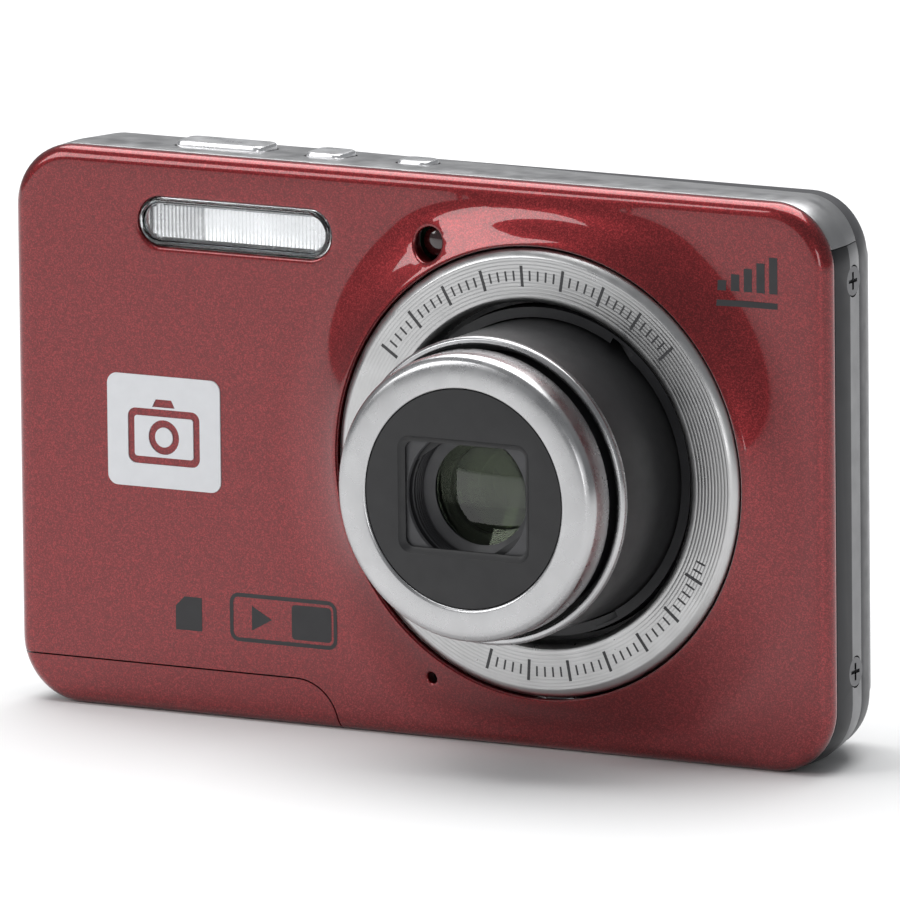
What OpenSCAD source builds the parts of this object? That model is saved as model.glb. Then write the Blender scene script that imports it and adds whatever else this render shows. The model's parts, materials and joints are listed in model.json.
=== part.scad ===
// Compact digital camera with a two-stage retracting zoom lens, shown with the lens extended.
// Front of the camera faces -Y, its top is +Z and +X is on the right as seen from the front.
// Inside the modules y is measured from the seam behind the front shell, so y < 0 is forward.

/* [Body] */
// Width of the body
body_w = 91.5; // [90:0.5:95]
// Height of the body without its buttons
body_h = 56.5; // [56:0.5:58]
// Corner radius of the body outline
corner_r = 6.5; // [5:0.5:8]
// Depth of the front shell in front of its seam
shell_front = 1.8; // [1.6:0.1:2.2]
// Depth of the metal frame band behind the seam
frame_depth = 5.9; // [5.5:0.1:6.2]
// Depth from the seam to the back of the rear shell
shell_back = 13.9; // [13.6:0.1:14.5]
// Depth from the seam to the back of the screen frame
screen_back = 15.9; // [15.6:0.1:16.4]
// Wall thickness of the shells
wall = 1.2; // [1:0.1:1.3]

/* [Lens] */
// Sideways place of the lens axis from the middle of the body
lens_x = 14.6; // [13:0.1:15]
// Height of the lens axis
lens_z = 28.1; // [27.5:0.1:28.5]
// Radius of the hole for the lens in the front shell
hole_r = 22.55; // [22:0.05:23]
// Forward reach of the bezel face
bezel_f = 4.0; // [3.8:0.1:4.2]
// Inner radius of the bezel
bezel_in_r = 17.05; // [17:0.05:17.4]
// Outer radius of the first barrel
barrel_1_r = 15.2; // [15:0.05:15.25]
// Forward reach of the first barrel
barrel_1_f = 14.2; // [14:0.1:14.5]
// Outer radius of the second barrel
barrel_2_r = 13.4; // [13.2:0.05:13.45]
// Outer radius of the ring on the front of the second barrel
cap_r = 14.3; // [14:0.05:14.35]
// Forward reach of the whole lens
cap_f = 18.9; // [18.6:0.1:19.2]
// Radius of the black faceplate
faceplate_r = 10.86; // [10:0.01:11]
// Travel of the first barrel from extended to stowed
stow_1 = 9.7; // [9:0.1:9.7]
// Turn of the cam ring over that travel
cam_turn = 60; // [50:1:70]

/* [Flash and front details] */
// Width of the flash window
flash_w = 21.6; // [20:0.1:22]
// Height of the flash window
flash_h = 4.65; // [4:0.05:5]
// Sideways place of the flash window
flash_x = -20.4; // [-21:0.1:-20]
// Height of the flash window's middle
flash_z = 49.6; // [49.2:0.1:49.8]

/* [Controls] */
// Depth of the top buttons' middle line behind the seam
key_y = 4.9; // [4.6:0.1:5.1]
// Press depth of the shutter button
shutter_travel = 0.5; // [0.5:0.1:0.8]
// Gap around each button
key_gap = 0.2; // [0.15:0.05:0.25]

/* [Battery door] */
// Height of the door's front lip
door_h = 4.75; // [4.2:0.05:4.8]
// Right-hand end of the door at the bottom
door_end = -9.2; // [-10.2:0.1:-9.2]
// Gap around the door
door_gap = 0.15; // [0.1:0.05:0.2]

/* [Hidden] */
$fn = 64;
seam_y = (cap_f - screen_back) / 2;
mid_z = body_h / 2;
band_gap = 0.1;
band_flat = 3.2;
band_inset = 0.4;
rear_inset = 0.6;
top_split = 52;
shell_face = -shell_front;
inner_front = shell_face + wall;
inner_back = shell_back - wall;
base_back = 9.5;
rear_limit = base_back - 0.2;
barrel_1_back = rear_limit - stow_1;
barrel_2_back = barrel_1_back - 2.2;
pin_f = 1.3 - barrel_1_back;
cam_front_f = 2.4;
cam_in_r = barrel_1_r + 0.15;
cam_out_r = 16.35;
groove_r = 16.0;
gear_m = 0.35;
ring_teeth = 96;
idler_teeth = 24;
pinion_teeth = 10;
ring_pitch = gear_m * ring_teeth / 2;
idler_pitch = gear_m * idler_teeth / 2;
pinion_pitch = gear_m * pinion_teeth / 2;
idler_angle = 212;
pinion_angle = 250;
idler_x = lens_x + (ring_pitch + idler_pitch) * cos(idler_angle);
idler_z = lens_z + (ring_pitch + idler_pitch) * sin(idler_angle);
pinion_x = idler_x + (idler_pitch + pinion_pitch) * cos(pinion_angle);
pinion_z = idler_z + (idler_pitch + pinion_pitch) * sin(pinion_angle);
motor_angle = atan2(pinion_z - lens_z, pinion_x - lens_x);
motor_reach = norm([pinion_x - lens_x, pinion_z - lens_z]);
gear_y0 = 6.2;
gear_y1 = 8.8;
blade_f0 = 17.15;
blade_f1 = 17.45;
blade_pivot_x = 11;
blade_pivot_z = 1.4;
blade_turn = 34;
window_w = 14.6;
window_h = 11.7;
key_x = -32.2;
key_z = 25.5;
nav_r = 8.2;
ok_r = 3.3;
small_keys = [[-38.2, 38.6], [-26.2, 38.6]];
flange_z = 54.1;
switch_gap = 0.2;
screen_x = 10.9;
screen_z = 27.35;
screen_w = 61;
screen_h = 46.9;
shutter_key = [-24.9, 10.0, 4.0];
power_key = [-13.05, 4.2, 4.0];
mode_key = [-3.2, 3.8, 3.0];
lamp_x = 2.0;
lamp_z = 49.8;
mic_x = 1.9;
mic_z = 6.4;
side_screw_y = 4.2;
side_screw_z = [9.6, 48.4];
bottom_screw_y = 9.2;
bottom_screw_x = [-3, 27, 35];
top_depth = 9.7;
top_depth_right = 7.3;
chamfer_depth = 2.7;
edge_round = 3.9;
left_round = 2.6;
right_round = shell_back - frame_depth - band_gap;
hinge_y = 10.3;
hinge_z = 1.6;
hinge_r = 1.0;
tripod_x = 13;
tripod_y = 5.6;
tripod_r = 3.175;
tripod_out_r = 4.2;

// ---- helpers ----

// Moves a shape from the seam's y to the part's own frame.
module placed() {
    translate([0, seam_y, 0]) children();
}

// Extrudes an outline drawn in x and z from y0 back to y1.
module along_y(y0, y1) {
    translate([0, y1, 0]) rotate([90, 0, 0]) linear_extrude(y1 - y0) children();
}

// Extrudes an outline drawn in x and y from z0 up to z1.
module along_z(z0, z1) {
    translate([0, 0, z0]) linear_extrude(z1 - z0) children();
}

// Turns a profile of [radius, forward reach] about the lens axis.
module turned() {
    translate([lens_x, 0, lens_z]) rotate([90, 0, 0]) rotate_extrude($fn = 96) children();
}

// A ring or disc about the lens axis between two forward reaches.
module disc(r_out, r_in, f0, f1) {
    translate([lens_x, 0, lens_z]) along_y(-f1, -f0) difference() {
        circle(r_out, $fn = 96);
        if (r_in > 0) circle(r_in, $fn = 96);
    }
}

module round_rect(w, h, r) {
    square([w - 2 * r, h], center = true);
    square([w, h - 2 * r], center = true);
    for (sx = [-1, 1], sz = [-1, 1]) {
        translate([sx * (w / 2 - r), sz * (h / 2 - r)]) circle(r);
    }
}

// The body outline, made smaller all round by the given inset.
module outline(inset) {
    translate([0, mid_z]) round_rect(body_w - 2 * inset, body_h - 2 * inset, corner_r - inset);
}

// A slab of the body outline for the rounded casings, between two depths.
module slab(y0, y1, inset) {
    along_y(y0, y1) outline(inset, $fn = 40);
}

// A rod along Y.
module rod_y(r, x, z, y0, y1) {
    translate([x, y0, z]) rotate([-90, 0, 0]) cylinder(r = r, h = y1 - y0);
}

// A rod along X.
module rod_x(r, y, z, x0, x1) {
    translate([x0, y, z]) rotate([0, 90, 0]) cylinder(r = r, h = x1 - x0);
}

// A box given by its two corners.
module box(p, q) {
    translate(p) cube(q - p);
}

// A gear outline with straight-sided teeth, one of them centred on the given angle.
module gear_outline(teeth, phase) {
    pitch = gear_m * teeth / 2;
    circle(pitch - gear_m);
    for (i = [0 : teeth - 1]) {
        rotate(phase + i * 360 / teeth) tooth(pitch);
    }
}

// One gear tooth on the +X axis of its gear.
module tooth(pitch) {
    half = 0.68 * gear_m;
    slope = tan(20);
    root = 1.6 * gear_m;
    tip = 0.75 * gear_m;
    polygon([
        [pitch - root, -half - root * slope], [pitch + tip, -half + tip * slope],
        [pitch + tip, half - tip * slope], [pitch - root, half + root * slope]
    ]);
}

// ---- shells ----

// The door's front lip: straight along its top, then a quarter round down to the bottom edge.
module door_lip_outline(gap) {
    r = door_h + gap;
    cx = door_end - door_h;
    polygon(concat(
        [[-body_w, -2], [-body_w, r]],
        [for (a = [90 : -7.5 : 0]) [cx + r * cos(a), r * sin(a)]],
        [[cx + r, -2]]
    ));
}

// The space that the battery door takes out of the shells.
module door_zone(gap) {
    x0 = -body_w;
    corner_x = corner_r - body_w / 2;
    along_y(-10, 1.2) door_lip_outline(gap);
    box([x0, 0, -1], [door_end + gap, hinge_y, 2.2]);
    box([x0, 0, -1], [corner_x, hinge_y + gap, door_h + gap]);
}

// The room for the door's round hinge barrel.
module hinge_zone() {
    top = hinge_z + hinge_r + door_gap;
    box([-body_w, hinge_y - 0.5, -1], [door_end + door_gap, hinge_y + hinge_r + door_gap, top]);
}

// The front shell's outside, without the swell round the lens.
module front_solid() {
    r = 1.4;
    hull() {
        slab(-shell_front + r, 0, 0);
        for (a = [30 : 30 : 90]) slab(shell_face + r - r * sin(a), 0, r - r * cos(a));
    }
}

// The raised swell that runs round the lens hole.
module lens_swell() {
    foot = 30;
    rise = 1.95;
    turned() polygon(concat(
        [[hole_r - 0.3, 0.7], [hole_r - 0.3, 3.5]],
        [for (rho = [22.8 : 0.98 : 27.7])
            [rho, shell_front + rise * pow((foot - rho) / (foot - 22.8), 2)]],
        [[27.7, 0.7]]
    ));
}

module front_shell() placed() color("firebrick") {
    difference() {
        union() {
            front_solid();
            lens_swell();
        }
        along_y(inner_front, 1) outline(wall);
        disc(hole_r, 0, -1, 6);
        along_y(-5, 1) translate([flash_x, flash_z]) flash_outline(0.15);
        rod_y(1.65, lamp_x, lamp_z, -5, 1);
        rod_y(0.55, mic_x, mic_z, -5, 1);
        along_y(-10, 1.2) door_lip_outline(door_gap);
    }
}

// The outside of the metal band between the two shells.
module band_solid() {
    hull() {
        slab(band_gap, band_flat, 0);
        slab(band_gap + 1, frame_depth, band_inset);
    }
}

module mid_frame() placed() color("dimgray") {
    difference() {
        band_solid();
        along_y(-1, 10) outline(1.5);
        box([-60, -1, top_split], [60, 10, 70]);
        door_zone(door_gap);
        side_screw_holes();
        tripod_hole();
    }
}

module side_screw_holes() {
    for (z = side_screw_z) {
        rod_x(1.6, side_screw_y, z, body_w / 2 - 0.9, body_w / 2 + 1);
        rod_x(0.95, side_screw_y, z, body_w / 2 - 3, body_w / 2 + 1);
        rod_x(1.6, side_screw_y, z, -body_w / 2 - 1, 0.9 - body_w / 2);
        rod_x(0.95, side_screw_y, z, -body_w / 2 - 1, 3 - body_w / 2);
    }
}

// How deep the top cover reaches behind the seam at x: deepest on the left, less to the right.
function top_reach(x) = let (start = power_key[0], end = body_w / 2 - corner_r)
    top_depth - (top_depth - top_depth_right) * max(0, x - start) / (end - start);

// Places [x, z, depth] along the body outline above the top split, from left to right.
function top_rim(inset) = let (cx = body_w / 2 - corner_r, cz = body_h - corner_r,
    r = corner_r - inset, low = asin((top_split - cz) / corner_r))
    concat(
        [for (i = [0 : 5]) let (a = 180 - low - (90 - low) * i / 5)
            [-cx + r * cos(a), cz + r * sin(a), frame_depth + (top_depth - frame_depth) * i / 5]],
        [for (x = [power_key[0], lens_x, cx]) [x, body_h - inset, top_reach(x)]],
        [for (i = [1 : 5]) let (a = 90 - (90 - low) * i / 5)
            [cx + r * cos(a), cz + r * sin(a),
             top_depth_right + (frame_depth - top_depth_right) * i / 5]]
    );

// The top cover's outside: its rear edge is chamfered and runs deeper over the buttons.
module top_solid() {
    dot = 0.01;
    hull() {
        for (p = top_rim(dot)) {
            box([p[0], band_gap, p[1]], [p[0] + dot, p[2] - chamfer_depth, p[1] + dot]);
        }
        for (p = top_rim(band_inset + dot)) {
            box([p[0], band_gap + 1, p[1]], [p[0] + dot, p[2], p[1] + dot]);
        }
    }
}

module top_cover() placed() color("gray") {
    difference() {
        intersection() {
            top_solid();
            box([-60, -1, top_split + 0.08], [60, 12, 70]);
        }
        along_y(-1, 12) outline(1.3);
        for (k = [shutter_key, power_key, mode_key]) {
            along_z(50, 60) translate([k[0], key_y]) {
                round_rect(k[1] + 2 * key_gap, k[2] + 2 * key_gap, 1.2);
            }
        }
    }
}

// How far a rounding of radius r that starts at depth y0 has turned in at depth y.
function turned_in(r, y0, y) = r - sqrt(max(0, r * r - pow(max(0, y - y0), 2)));

// The body outline from y0 to y1 with its own inset on the left, on the right and above and below.
module uneven_slab(y0, y1, left, right, ends) {
    along_y(y0, y1) translate([(left - right) / 2, mid_z]) {
        round_rect(body_w - left - right, body_h - 2 * ends, corner_r - ends, $fn = 24);
    }
}

// The rear shell's outside: it rounds off far more on the right than elsewhere.
module rear_solid() {
    front = frame_depth + band_gap;
    hull() {
        for (a = [0, 30, 50, 70, 90]) {
            y = front + right_round * sin(a);
            uneven_slab(
                front, max(y, front + 0.1),
                rear_inset + turned_in(left_round, shell_back - left_round, y),
                rear_inset + turned_in(right_round, front, y),
                rear_inset + turned_in(edge_round, shell_back - edge_round, y)
            );
        }
    }
}

// The room inside the rear shell, stepped inwards towards its back.
module rear_room() {
    skin = rear_inset + wall;
    uneven_slab(0, 6.6, skin, skin, skin);
    uneven_slab(6, 8.5, skin, 2.3, skin);
    uneven_slab(8, 10.8, skin, 3.7, skin);
    uneven_slab(10, 11.75, 1.9, 5.1, 2.45);
    uneven_slab(11, inner_back, 2.2, 7.3, 3.4);
}

module back_shell() placed() color("dimgray") {
    difference() {
        rear_solid();
        rear_room();
        translate([0, band_gap, 0]) top_solid();
        along_y(0, 20) translate([screen_x, screen_z]) {
            round_rect(screen_w + 0.2, screen_h + 0.2, 2.1);
        }
        along_y(0, 20) translate([key_x, key_z]) circle(nav_r + key_gap);
        along_y(0, 20) for (p = small_keys) translate(p) circle(2.4 + key_gap);
        along_y(0, 20) translate([key_x, 47]) round_rect(15 + 2 * key_gap, 5 + 2 * key_gap, 2.5);
        box([-60, 6.8, 41.4], [-42, 10.2, 49.8]);
        box([-60, 6.9, 27.9], [-42, 12.1, 36.1]);
        door_zone(door_gap);
        hinge_zone();
        tripod_hole();
        for (x = bottom_screw_x) {
            translate([x, bottom_screw_y, -1]) cylinder(r = 0.9, h = 5);
            translate([x, bottom_screw_y, -1]) cylinder(r = 1.5, h = 1 + rear_inset + 0.7);
        }
    }
}

module screen_frame() placed() color("gray") {
    difference() {
        hull() {
            along_y(11.8, screen_back - 0.8) translate([screen_x, screen_z]) {
                round_rect(screen_w, screen_h, 2, $fn = 32);
            }
            along_y(11.8, screen_back - 0.25) translate([screen_x, screen_z]) {
                round_rect(screen_w - 0.6, screen_h - 0.6, 1.7, $fn = 32);
            }
            along_y(11.8, screen_back) translate([screen_x, screen_z]) {
                round_rect(screen_w - 1.6, screen_h - 1.6, 1.2, $fn = 32);
            }
        }
        along_y(11, 20) translate([screen_x, screen_z]) {
            round_rect(screen_w - 3.4, screen_h - 3.4, 1.0);
        }
    }
}

module screen_window() placed() color("black") {
    along_y(14.75, 15.7) translate([screen_x, screen_z]) {
        round_rect(screen_w - 3.7, screen_h - 3.7, 0.9);
    }
}

module lcd_module() placed() color("darkslategray") {
    along_y(11.9, 14.6) translate([screen_x, screen_z]) {
        square([screen_w - 5, screen_h - 4.9], center = true);
    }
}

// ---- chassis and fasteners ----

module chassis_plate() placed() color("lightgray") {
    plate_y = 11.25;
    plate_back = 11.65;
    left = -43.7;
    right = 40.4;
    tab_x = 43.3;
    tab_half = 0.4;
    difference() {
        union() {
            along_y(plate_y, plate_back) translate([(left + right) / 2, mid_z + 1]) {
                round_rect(right - left, 47, 4);
            }
            for (z = side_screw_z) {
                box([-tab_x - tab_half, 2.6, z - 2.2], [tab_half - tab_x, plate_back, z + 2.2]);
                box([tab_x - tab_half, 2.6, z - 2.2], [tab_x + tab_half, 6.2, z + 2.2]);
                box([right - 1, 5.4, z - 2.2], [tab_x, 6.2, z + 2.2]);
                box([right - 1, 5.4, z - 2.2], [right, plate_back, z + 2.2]);
            }
            for (x = bottom_screw_x) {
                box([x - 2.5, 7.6, 2.6], [x + 2.5, plate_back, 3.5]);
                box([x - 2.5, plate_y, 2.6], [x + 2.5, plate_back, 8]);
            }
            box([tripod_x - 6, plate_y, 2.6], [tripod_x + 6, plate_back, 8]);
        }
        for (sx = [-1, 1], z = side_screw_z) {
            rod_x(0.72, side_screw_y, z, sx * tab_x - 1, sx * tab_x + 1);
        }
        for (x = bottom_screw_x) {
            translate([x, bottom_screw_y, 2]) cylinder(r = 0.72, h = 2);
        }
        box([-46, 7.2, 41.5], [-38.6, 10.3, 49.7]);
        box([-60, 11, 27], [-42, 12, 37]);
    }
}

// The tripod bush stands half in the frame and half in the rear shell.
module tripod_bush() placed() color("silver") {
    difference() {
        union() {
            translate([tripod_x, tripod_y, 0.05]) cylinder(r = tripod_out_r, h = 6.3);
            translate([tripod_x, tripod_y, 1.85]) cylinder(r = tripod_out_r + 1, h = 0.9);
        }
        translate([tripod_x, tripod_y, -1]) cylinder(r = tripod_r, h = 6.5);
    }
}

module tripod_hole() {
    translate([tripod_x, tripod_y, -1]) cylinder(r = tripod_out_r + 0.08, h = 4);
}

// A cross-head screw along +Z with its head's top at z = 0.
module screw(head_r, shaft_r, length) {
    difference() {
        union() {
            translate([0, 0, -0.6]) cylinder(r = head_r, h = 0.6, $fn = 32);
            translate([0, 0, -length]) cylinder(r = shaft_r, h = length - 0.5, $fn = 24);
        }
        for (a = [0, 90]) {
            rotate(a) translate([-head_r * 0.6, -0.18, -0.4]) cube([head_r * 1.2, 0.36, 1]);
        }
    }
}

module side_screws() placed() color("silver") {
    for (z = side_screw_z) {
        translate([body_w / 2 - 0.2, side_screw_y, z]) rotate([0, 90, 0]) screw(1.45, 0.7, 2.6);
        translate([0.2 - body_w / 2, side_screw_y, z]) rotate([0, -90, 0]) screw(1.45, 0.7, 2.6);
    }
}

module bottom_screws() placed() color("silver") {
    for (x = bottom_screw_x) {
        translate([x, bottom_screw_y, rear_inset + 0.1]) rotate([180, 0, 0]) screw(1.35, 0.7, 3);
    }
}

module badge() placed() color("white") {
    along_y(shell_face - 0.12, shell_face) translate([-28.65, 28.4]) round_rect(12.9, 11.3, 1.1);
}

// ---- lens, fixed part ----

module lens_bezel() placed() color("gainsboro") {
    turned() polygon([
        [bezel_in_r, 0.8], [22.35, 0.8], [22.35, 3.35], [21.55, bezel_f], [17.45, bezel_f],
        [bezel_in_r, bezel_f - 0.4]
    ]);
}

module lens_base() placed() color("dimgray") {
    difference() {
        union() {
            turned() polygon([
                [16.55, 0.75], [22.0, 0.75], [22.0, 0.1], [17.9, 0.1], [17.9, -5.6],
                [18.7, -5.6], [18.7, -10.3], [0, -10.3], [0, -base_back], [17.6, -base_back],
                [17.6, -6.0], [16.55, -6.0]
            ]);
            for (a = [20, 110, 290]) base_arm(a, 21.6, 8.8, 10.3, 2.2);
            base_arm(idler_angle, 23, 9.1, 10.3, 2.2);
            base_arm(motor_angle, motor_reach + 3, 5.2, 5.7, 3);
        }
        along_y(5, 12) translate([lens_x, lens_z]) square([9.6, 7.8], center = true);
        rod_y(idler_pitch + 0.6, idler_x, idler_z, 6, 9.1);
        for (a = [20, 110, 290]) {
            translate([lens_x, 0, lens_z]) rotate([0, -a, 0]) rod_y(0.75, 20.2, 0, 8, 11);
        }
        rod_y(1.3, pinion_x, pinion_z, 5, 6);
    }
    rod_y(0.7, idler_x, idler_z, 5.9, 9.5);
}

// An arm of the lens base that reaches out from its wall at one angle.
module base_arm(angle, reach, y0, y1, half_w) {
    translate([lens_x, 0, lens_z]) rotate([0, -angle, 0]) {
        box([17.4, y0, -half_w], [reach, y1, half_w]);
    }
}

// The cam ring: three helical grooves inside and a run of gear teeth outside.
module cam_ring() placed() color("darkgray") {
    groove_w = 9.6;
    reach = stow_1 + 2.2;
    difference() {
        translate([lens_x, 0, lens_z]) rotate([90, 0, 0]) union() {
            translate([0, 0, -rear_limit]) linear_extrude(rear_limit + cam_front_f) difference() {
                circle(cam_out_r, $fn = 96);
                circle(cam_in_r, $fn = 96);
            }
            translate([0, 0, -gear_y1]) linear_extrude(gear_y1 - gear_y0) {
                for (i = [-3 : 19]) {
                    rotate(idler_angle + i * 360 / ring_teeth) tooth(ring_pitch);
                }
            }
        }
        for (k = [0 : 2]) {
            translate([lens_x, 0, lens_z]) rotate([90, 0, 0]) {
                rotate(k * 120 + 60 + cam_turn * (reach - 1.1) / stow_1) {
                    translate([0, 0, pin_f - reach + 1.1]) {
                        turn = cam_turn * reach / stow_1;
                        linear_extrude(reach, twist = turn, slices = 12, segments = 4) {
                            polygon([
                                [14.9 * cos(groove_w / 2), -14.9 * sin(groove_w / 2)],
                                [groove_r, -groove_r * sin(groove_w / 2)],
                                [groove_r, groove_r * sin(groove_w / 2)],
                                [14.9 * cos(groove_w / 2), 14.9 * sin(groove_w / 2)]
                            ]);
                        }
                    }
                }
            }
        }
    }
}

module guide_rods() placed() color("silver") {
    for (s = [-1, 1]) rod_y(0.6, lens_x + s * 9, lens_z - s * 4, 4.9, base_back);
}

module image_sensor() placed() color("darkgreen") {
    along_y(10.35, 11.15) translate([lens_x, lens_z]) square([13, 11], center = true);
}

module sensor_filter() placed() color("lightcyan") {
    along_y(9.6, 10.1) translate([lens_x, lens_z]) square([9.2, 7.4], center = true);
}

module zoom_motor() placed() color("silver") {
    difference() {
        union() {
            rod_y(3, pinion_x, pinion_z, -0.4, 5.2);
            rod_y(1.2, pinion_x, pinion_z, 5.2, 5.6);
            rod_y(0.4, pinion_x, pinion_z, 5.6, 8.9);
        }
        box([pinion_x - 4, -1, pinion_z - 4], [pinion_x - 2.5, 5, pinion_z + 4]);
    }
}

module motor_pinion() placed() color("gold") {
    difference() {
        along_y(gear_y0, gear_y1) translate([pinion_x, pinion_z]) {
            gear_outline(pinion_teeth, pinion_angle + 180 + 180 / pinion_teeth + pinion_phase());
        }
        rod_y(0.45, pinion_x, pinion_z, 5, 10);
    }
}

// The idler has a gap facing the ring; this is how far its nearest tooth is from the pinion line.
function pinion_phase() = -(idler_teeth / pinion_teeth) * idler_offset();
function idler_offset() = let (step = 360 / idler_teeth,
    turn = (pinion_angle - (idler_angle + 180 + step / 2)) / step) -step * (turn - round(turn));

module idler_gear() placed() color("ivory") {
    difference() {
        along_y(gear_y0, gear_y1) translate([idler_x, idler_z]) {
            gear_outline(idler_teeth, idler_angle + 180 + 180 / idler_teeth);
        }
        rod_y(0.78, idler_x, idler_z, 5, 10);
    }
}

// ---- lens, moving part ----

module barrel_1() placed() color("darkslategray") {
    turned() polygon([
        [barrel_2_r + 0.15, -barrel_1_back], [barrel_1_r, -barrel_1_back],
        [barrel_1_r, barrel_1_f - 0.9], [barrel_1_r - 0.35, barrel_1_f - 0.9],
        [barrel_1_r - 0.35, barrel_1_f - 0.2], [cap_r + 0.15, barrel_1_f - 0.2],
        [cap_r + 0.15, 11.4], [barrel_2_r + 0.15, 11.4]
    ]);
    for (k = [0 : 2]) {
        translate([lens_x, -pin_f, lens_z]) rotate([0, -(k * 120 + 60), 0]) {
            rod_x(0.5, 0, 0, 14.9, groove_r - 0.15);
        }
    }
}

module barrel_1_trim() placed() color("gainsboro") {
    turned() polygon([
        [barrel_1_r - 0.33, barrel_1_f - 0.88], [barrel_1_r + 0.1, barrel_1_f - 0.88],
        [barrel_1_r + 0.1, barrel_1_f - 0.2], [barrel_1_r - 0.15, barrel_1_f],
        [cap_r + 0.35, barrel_1_f], [cap_r + 0.2, barrel_1_f - 0.18],
        [barrel_1_r - 0.33, barrel_1_f - 0.18]
    ]);
}

module barrel_2() placed() color("dimgray") {
    turned() polygon([
        [12.6, -barrel_2_back], [barrel_2_r, -barrel_2_back], [barrel_2_r, 17.0], [6.5, 17.0],
        [6.5, 14.95], [5.7, 14.95], [5.7, 12.5], [4.3, 12.5], [4.3, 9.4], [5.6, 9.4],
        [5.6, 8.9], [7.3, 8.9], [7.3, 16.3], [12.6, 16.3]
    ]);
    for (s = [-1, 1]) {
        rod_y(0.5, lens_x - s * blade_pivot_x, lens_z + s * blade_pivot_z, -17.6, -16.9);
    }
}

module cap_ring() placed() color("gainsboro") {
    turned() polygon([
        [barrel_2_r, 15.2], [cap_r, 15.2], [cap_r, 17.7], [cap_r - 0.1, 18.1], [14.0, 18.45],
        [13.6, 18.75], [13.1, cap_f], [faceplate_r + 0.3, cap_f], [faceplate_r + 0.06, 18.75],
        [faceplate_r + 0.06, 17.95], [barrel_2_r, 17.95]
    ]);
}

module faceplate() placed() color("black") {
    difference() {
        disc(faceplate_r, 0, 17.98, 18.72);
        along_y(-20, -17) translate([lens_x, lens_z]) round_rect(window_w - 1.2, window_h - 1.2, 0.9);
        hull() {
            along_y(-20, -18.7) translate([lens_x, lens_z]) {
                round_rect(window_w, window_h, 1.4, $fn = 32);
            }
            along_y(-20, -18.3) translate([lens_x, lens_z]) {
                round_rect(window_w - 0.6, window_h - 0.6, 1.1, $fn = 32);
            }
        }
    }
}

module blade_cover() placed() color("dimgray") {
    disc(barrel_2_r - 0.1, 6.6, 17.62, 17.92);
}

// One barrier blade in its closed place: s = 1 is the upper one, s = -1 the lower one.
module blade_outline(s) {
    px = -s * blade_pivot_x;
    pz = s * blade_pivot_z;
    difference() {
        union() {
            intersection() {
                circle(6.75, $fn = 96);
                translate([0, s * 4.05]) square([20, 8], center = true);
            }
            translate([px, pz]) circle(1.2);
            translate([px / 2 - s * 1.5, s * 1.45]) square([8, 2.4], center = true);
        }
        translate([px, pz]) circle(0.6);
    }
}

// The blade swung open about its pivot, as it lies with the lens extended.
module blade_open(s) {
    px = -s * blade_pivot_x;
    pz = s * blade_pivot_z;
    translate([lens_x, lens_z]) translate([px, pz]) rotate(blade_turn) translate([-px, -pz]) {
        blade_outline(s);
    }
}

module blade_upper() placed() color("black") {
    along_y(-blade_f1, -blade_f0) blade_open(1);
}

module blade_lower() placed() color("black") {
    along_y(-blade_f1, -blade_f0) blade_open(-1);
}

// How far a surface bulging by b over radius r has fallen back at distance x from its middle.
function sag(r, b, x) = let (ball = (r * r + b * b) / (2 * b)) ball - sqrt(ball * ball - x * x);

// A round glass element about the lens axis, bulging by the given amounts in front and behind.
module element(r, f0, f1, bulge_front, bulge_back) {
    steps = 8;
    turned() polygon(concat(
        [for (i = [0 : steps]) [r * i / steps, f1 - sag(r, bulge_front, r * i / steps)]],
        [for (i = [steps : -1 : 0]) [r * i / steps, f0 + sag(r, bulge_back, r * i / steps)]]
    ));
}

module front_element() placed() color("lightcyan") {
    element(5.5, 12.7, 14.9, 0.8, 0.3);
}

module element_retainer() placed() color("slategray") {
    turned() polygon([[5.15, 14.97], [6.4, 14.97], [6.4, 15.35], [5.9, 15.35]]);
}

module second_element() placed() color("lightcyan") {
    element(4.2, 9.6, 12.0, 0.5, 0.4);
}

module shutter_unit() placed() color("black") {
    difference() {
        disc(11.8, 2.4, 7.2, 8.85);
        translate([lens_x, 0, lens_z]) rotate([0, -45, 0]) box([9.5, -10, -4], [13, -6, 4]);
    }
}

module focus_carriage() placed() color("dimgray") {
    difference() {
        union() {
            disc(6.2, 4.1, -8.0, -5.4);
            for (s = [-1, 1]) {
                hull() {
                    rod_y(1.3, lens_x - s * 9, lens_z + s * 4, 6.4, 8.0, $fn = 32);
                    rod_y(1.3, lens_x - s * 5.2, lens_z + s * 2.3, 6.4, 8.0, $fn = 32);
                }
            }
        }
        disc(4.1, 0, -9, -5);
        for (s = [-1, 1]) rod_y(0.66, lens_x - s * 9, lens_z + s * 4, 4, 9);
    }
}

module focus_element() placed() color("lightcyan") {
    element(4.1, -7.8, -5.6, 0.4, 0.4);
}

// ---- flash, lamp and sound ----

module flash_outline(gap) {
    half = (flash_w - flash_h) / 2;
    square([2 * half, flash_h + 2 * gap], center = true);
    for (s = [-1, 1]) translate([s * half, 0]) circle(flash_h / 2 + gap);
}

module flash_window() placed() color("white") {
    along_y(shell_face - 0.05, inner_front + 0.2) translate([flash_x, flash_z]) flash_outline(0);
    along_y(inner_front + 0.05, inner_front + 0.5) translate([flash_x, flash_z]) {
        square([flash_w + 1, 5.2], center = true);
    }
}

module flash_reflector() placed() color("silver") {
    difference() {
        box([flash_x - 10.8, 0, flash_z - 2.6], [flash_x + 10.8, 5.0, flash_z + 2.5]);
        translate([flash_x - 10.4, 0, flash_z]) rotate([90, 0, 90]) linear_extrude(20.8) polygon([
            [-1, -2.3], [0.3, -2.2], [2.6, -1.7], [4.2, -0.9], [4.6, 0], [4.2, 0.9],
            [2.6, 1.7], [0.3, 2.2], [-1, 2.3]
        ]);
        rod_x(0.9, 2.9, flash_z, flash_x - 12, flash_x + 12);
    }
}

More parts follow.
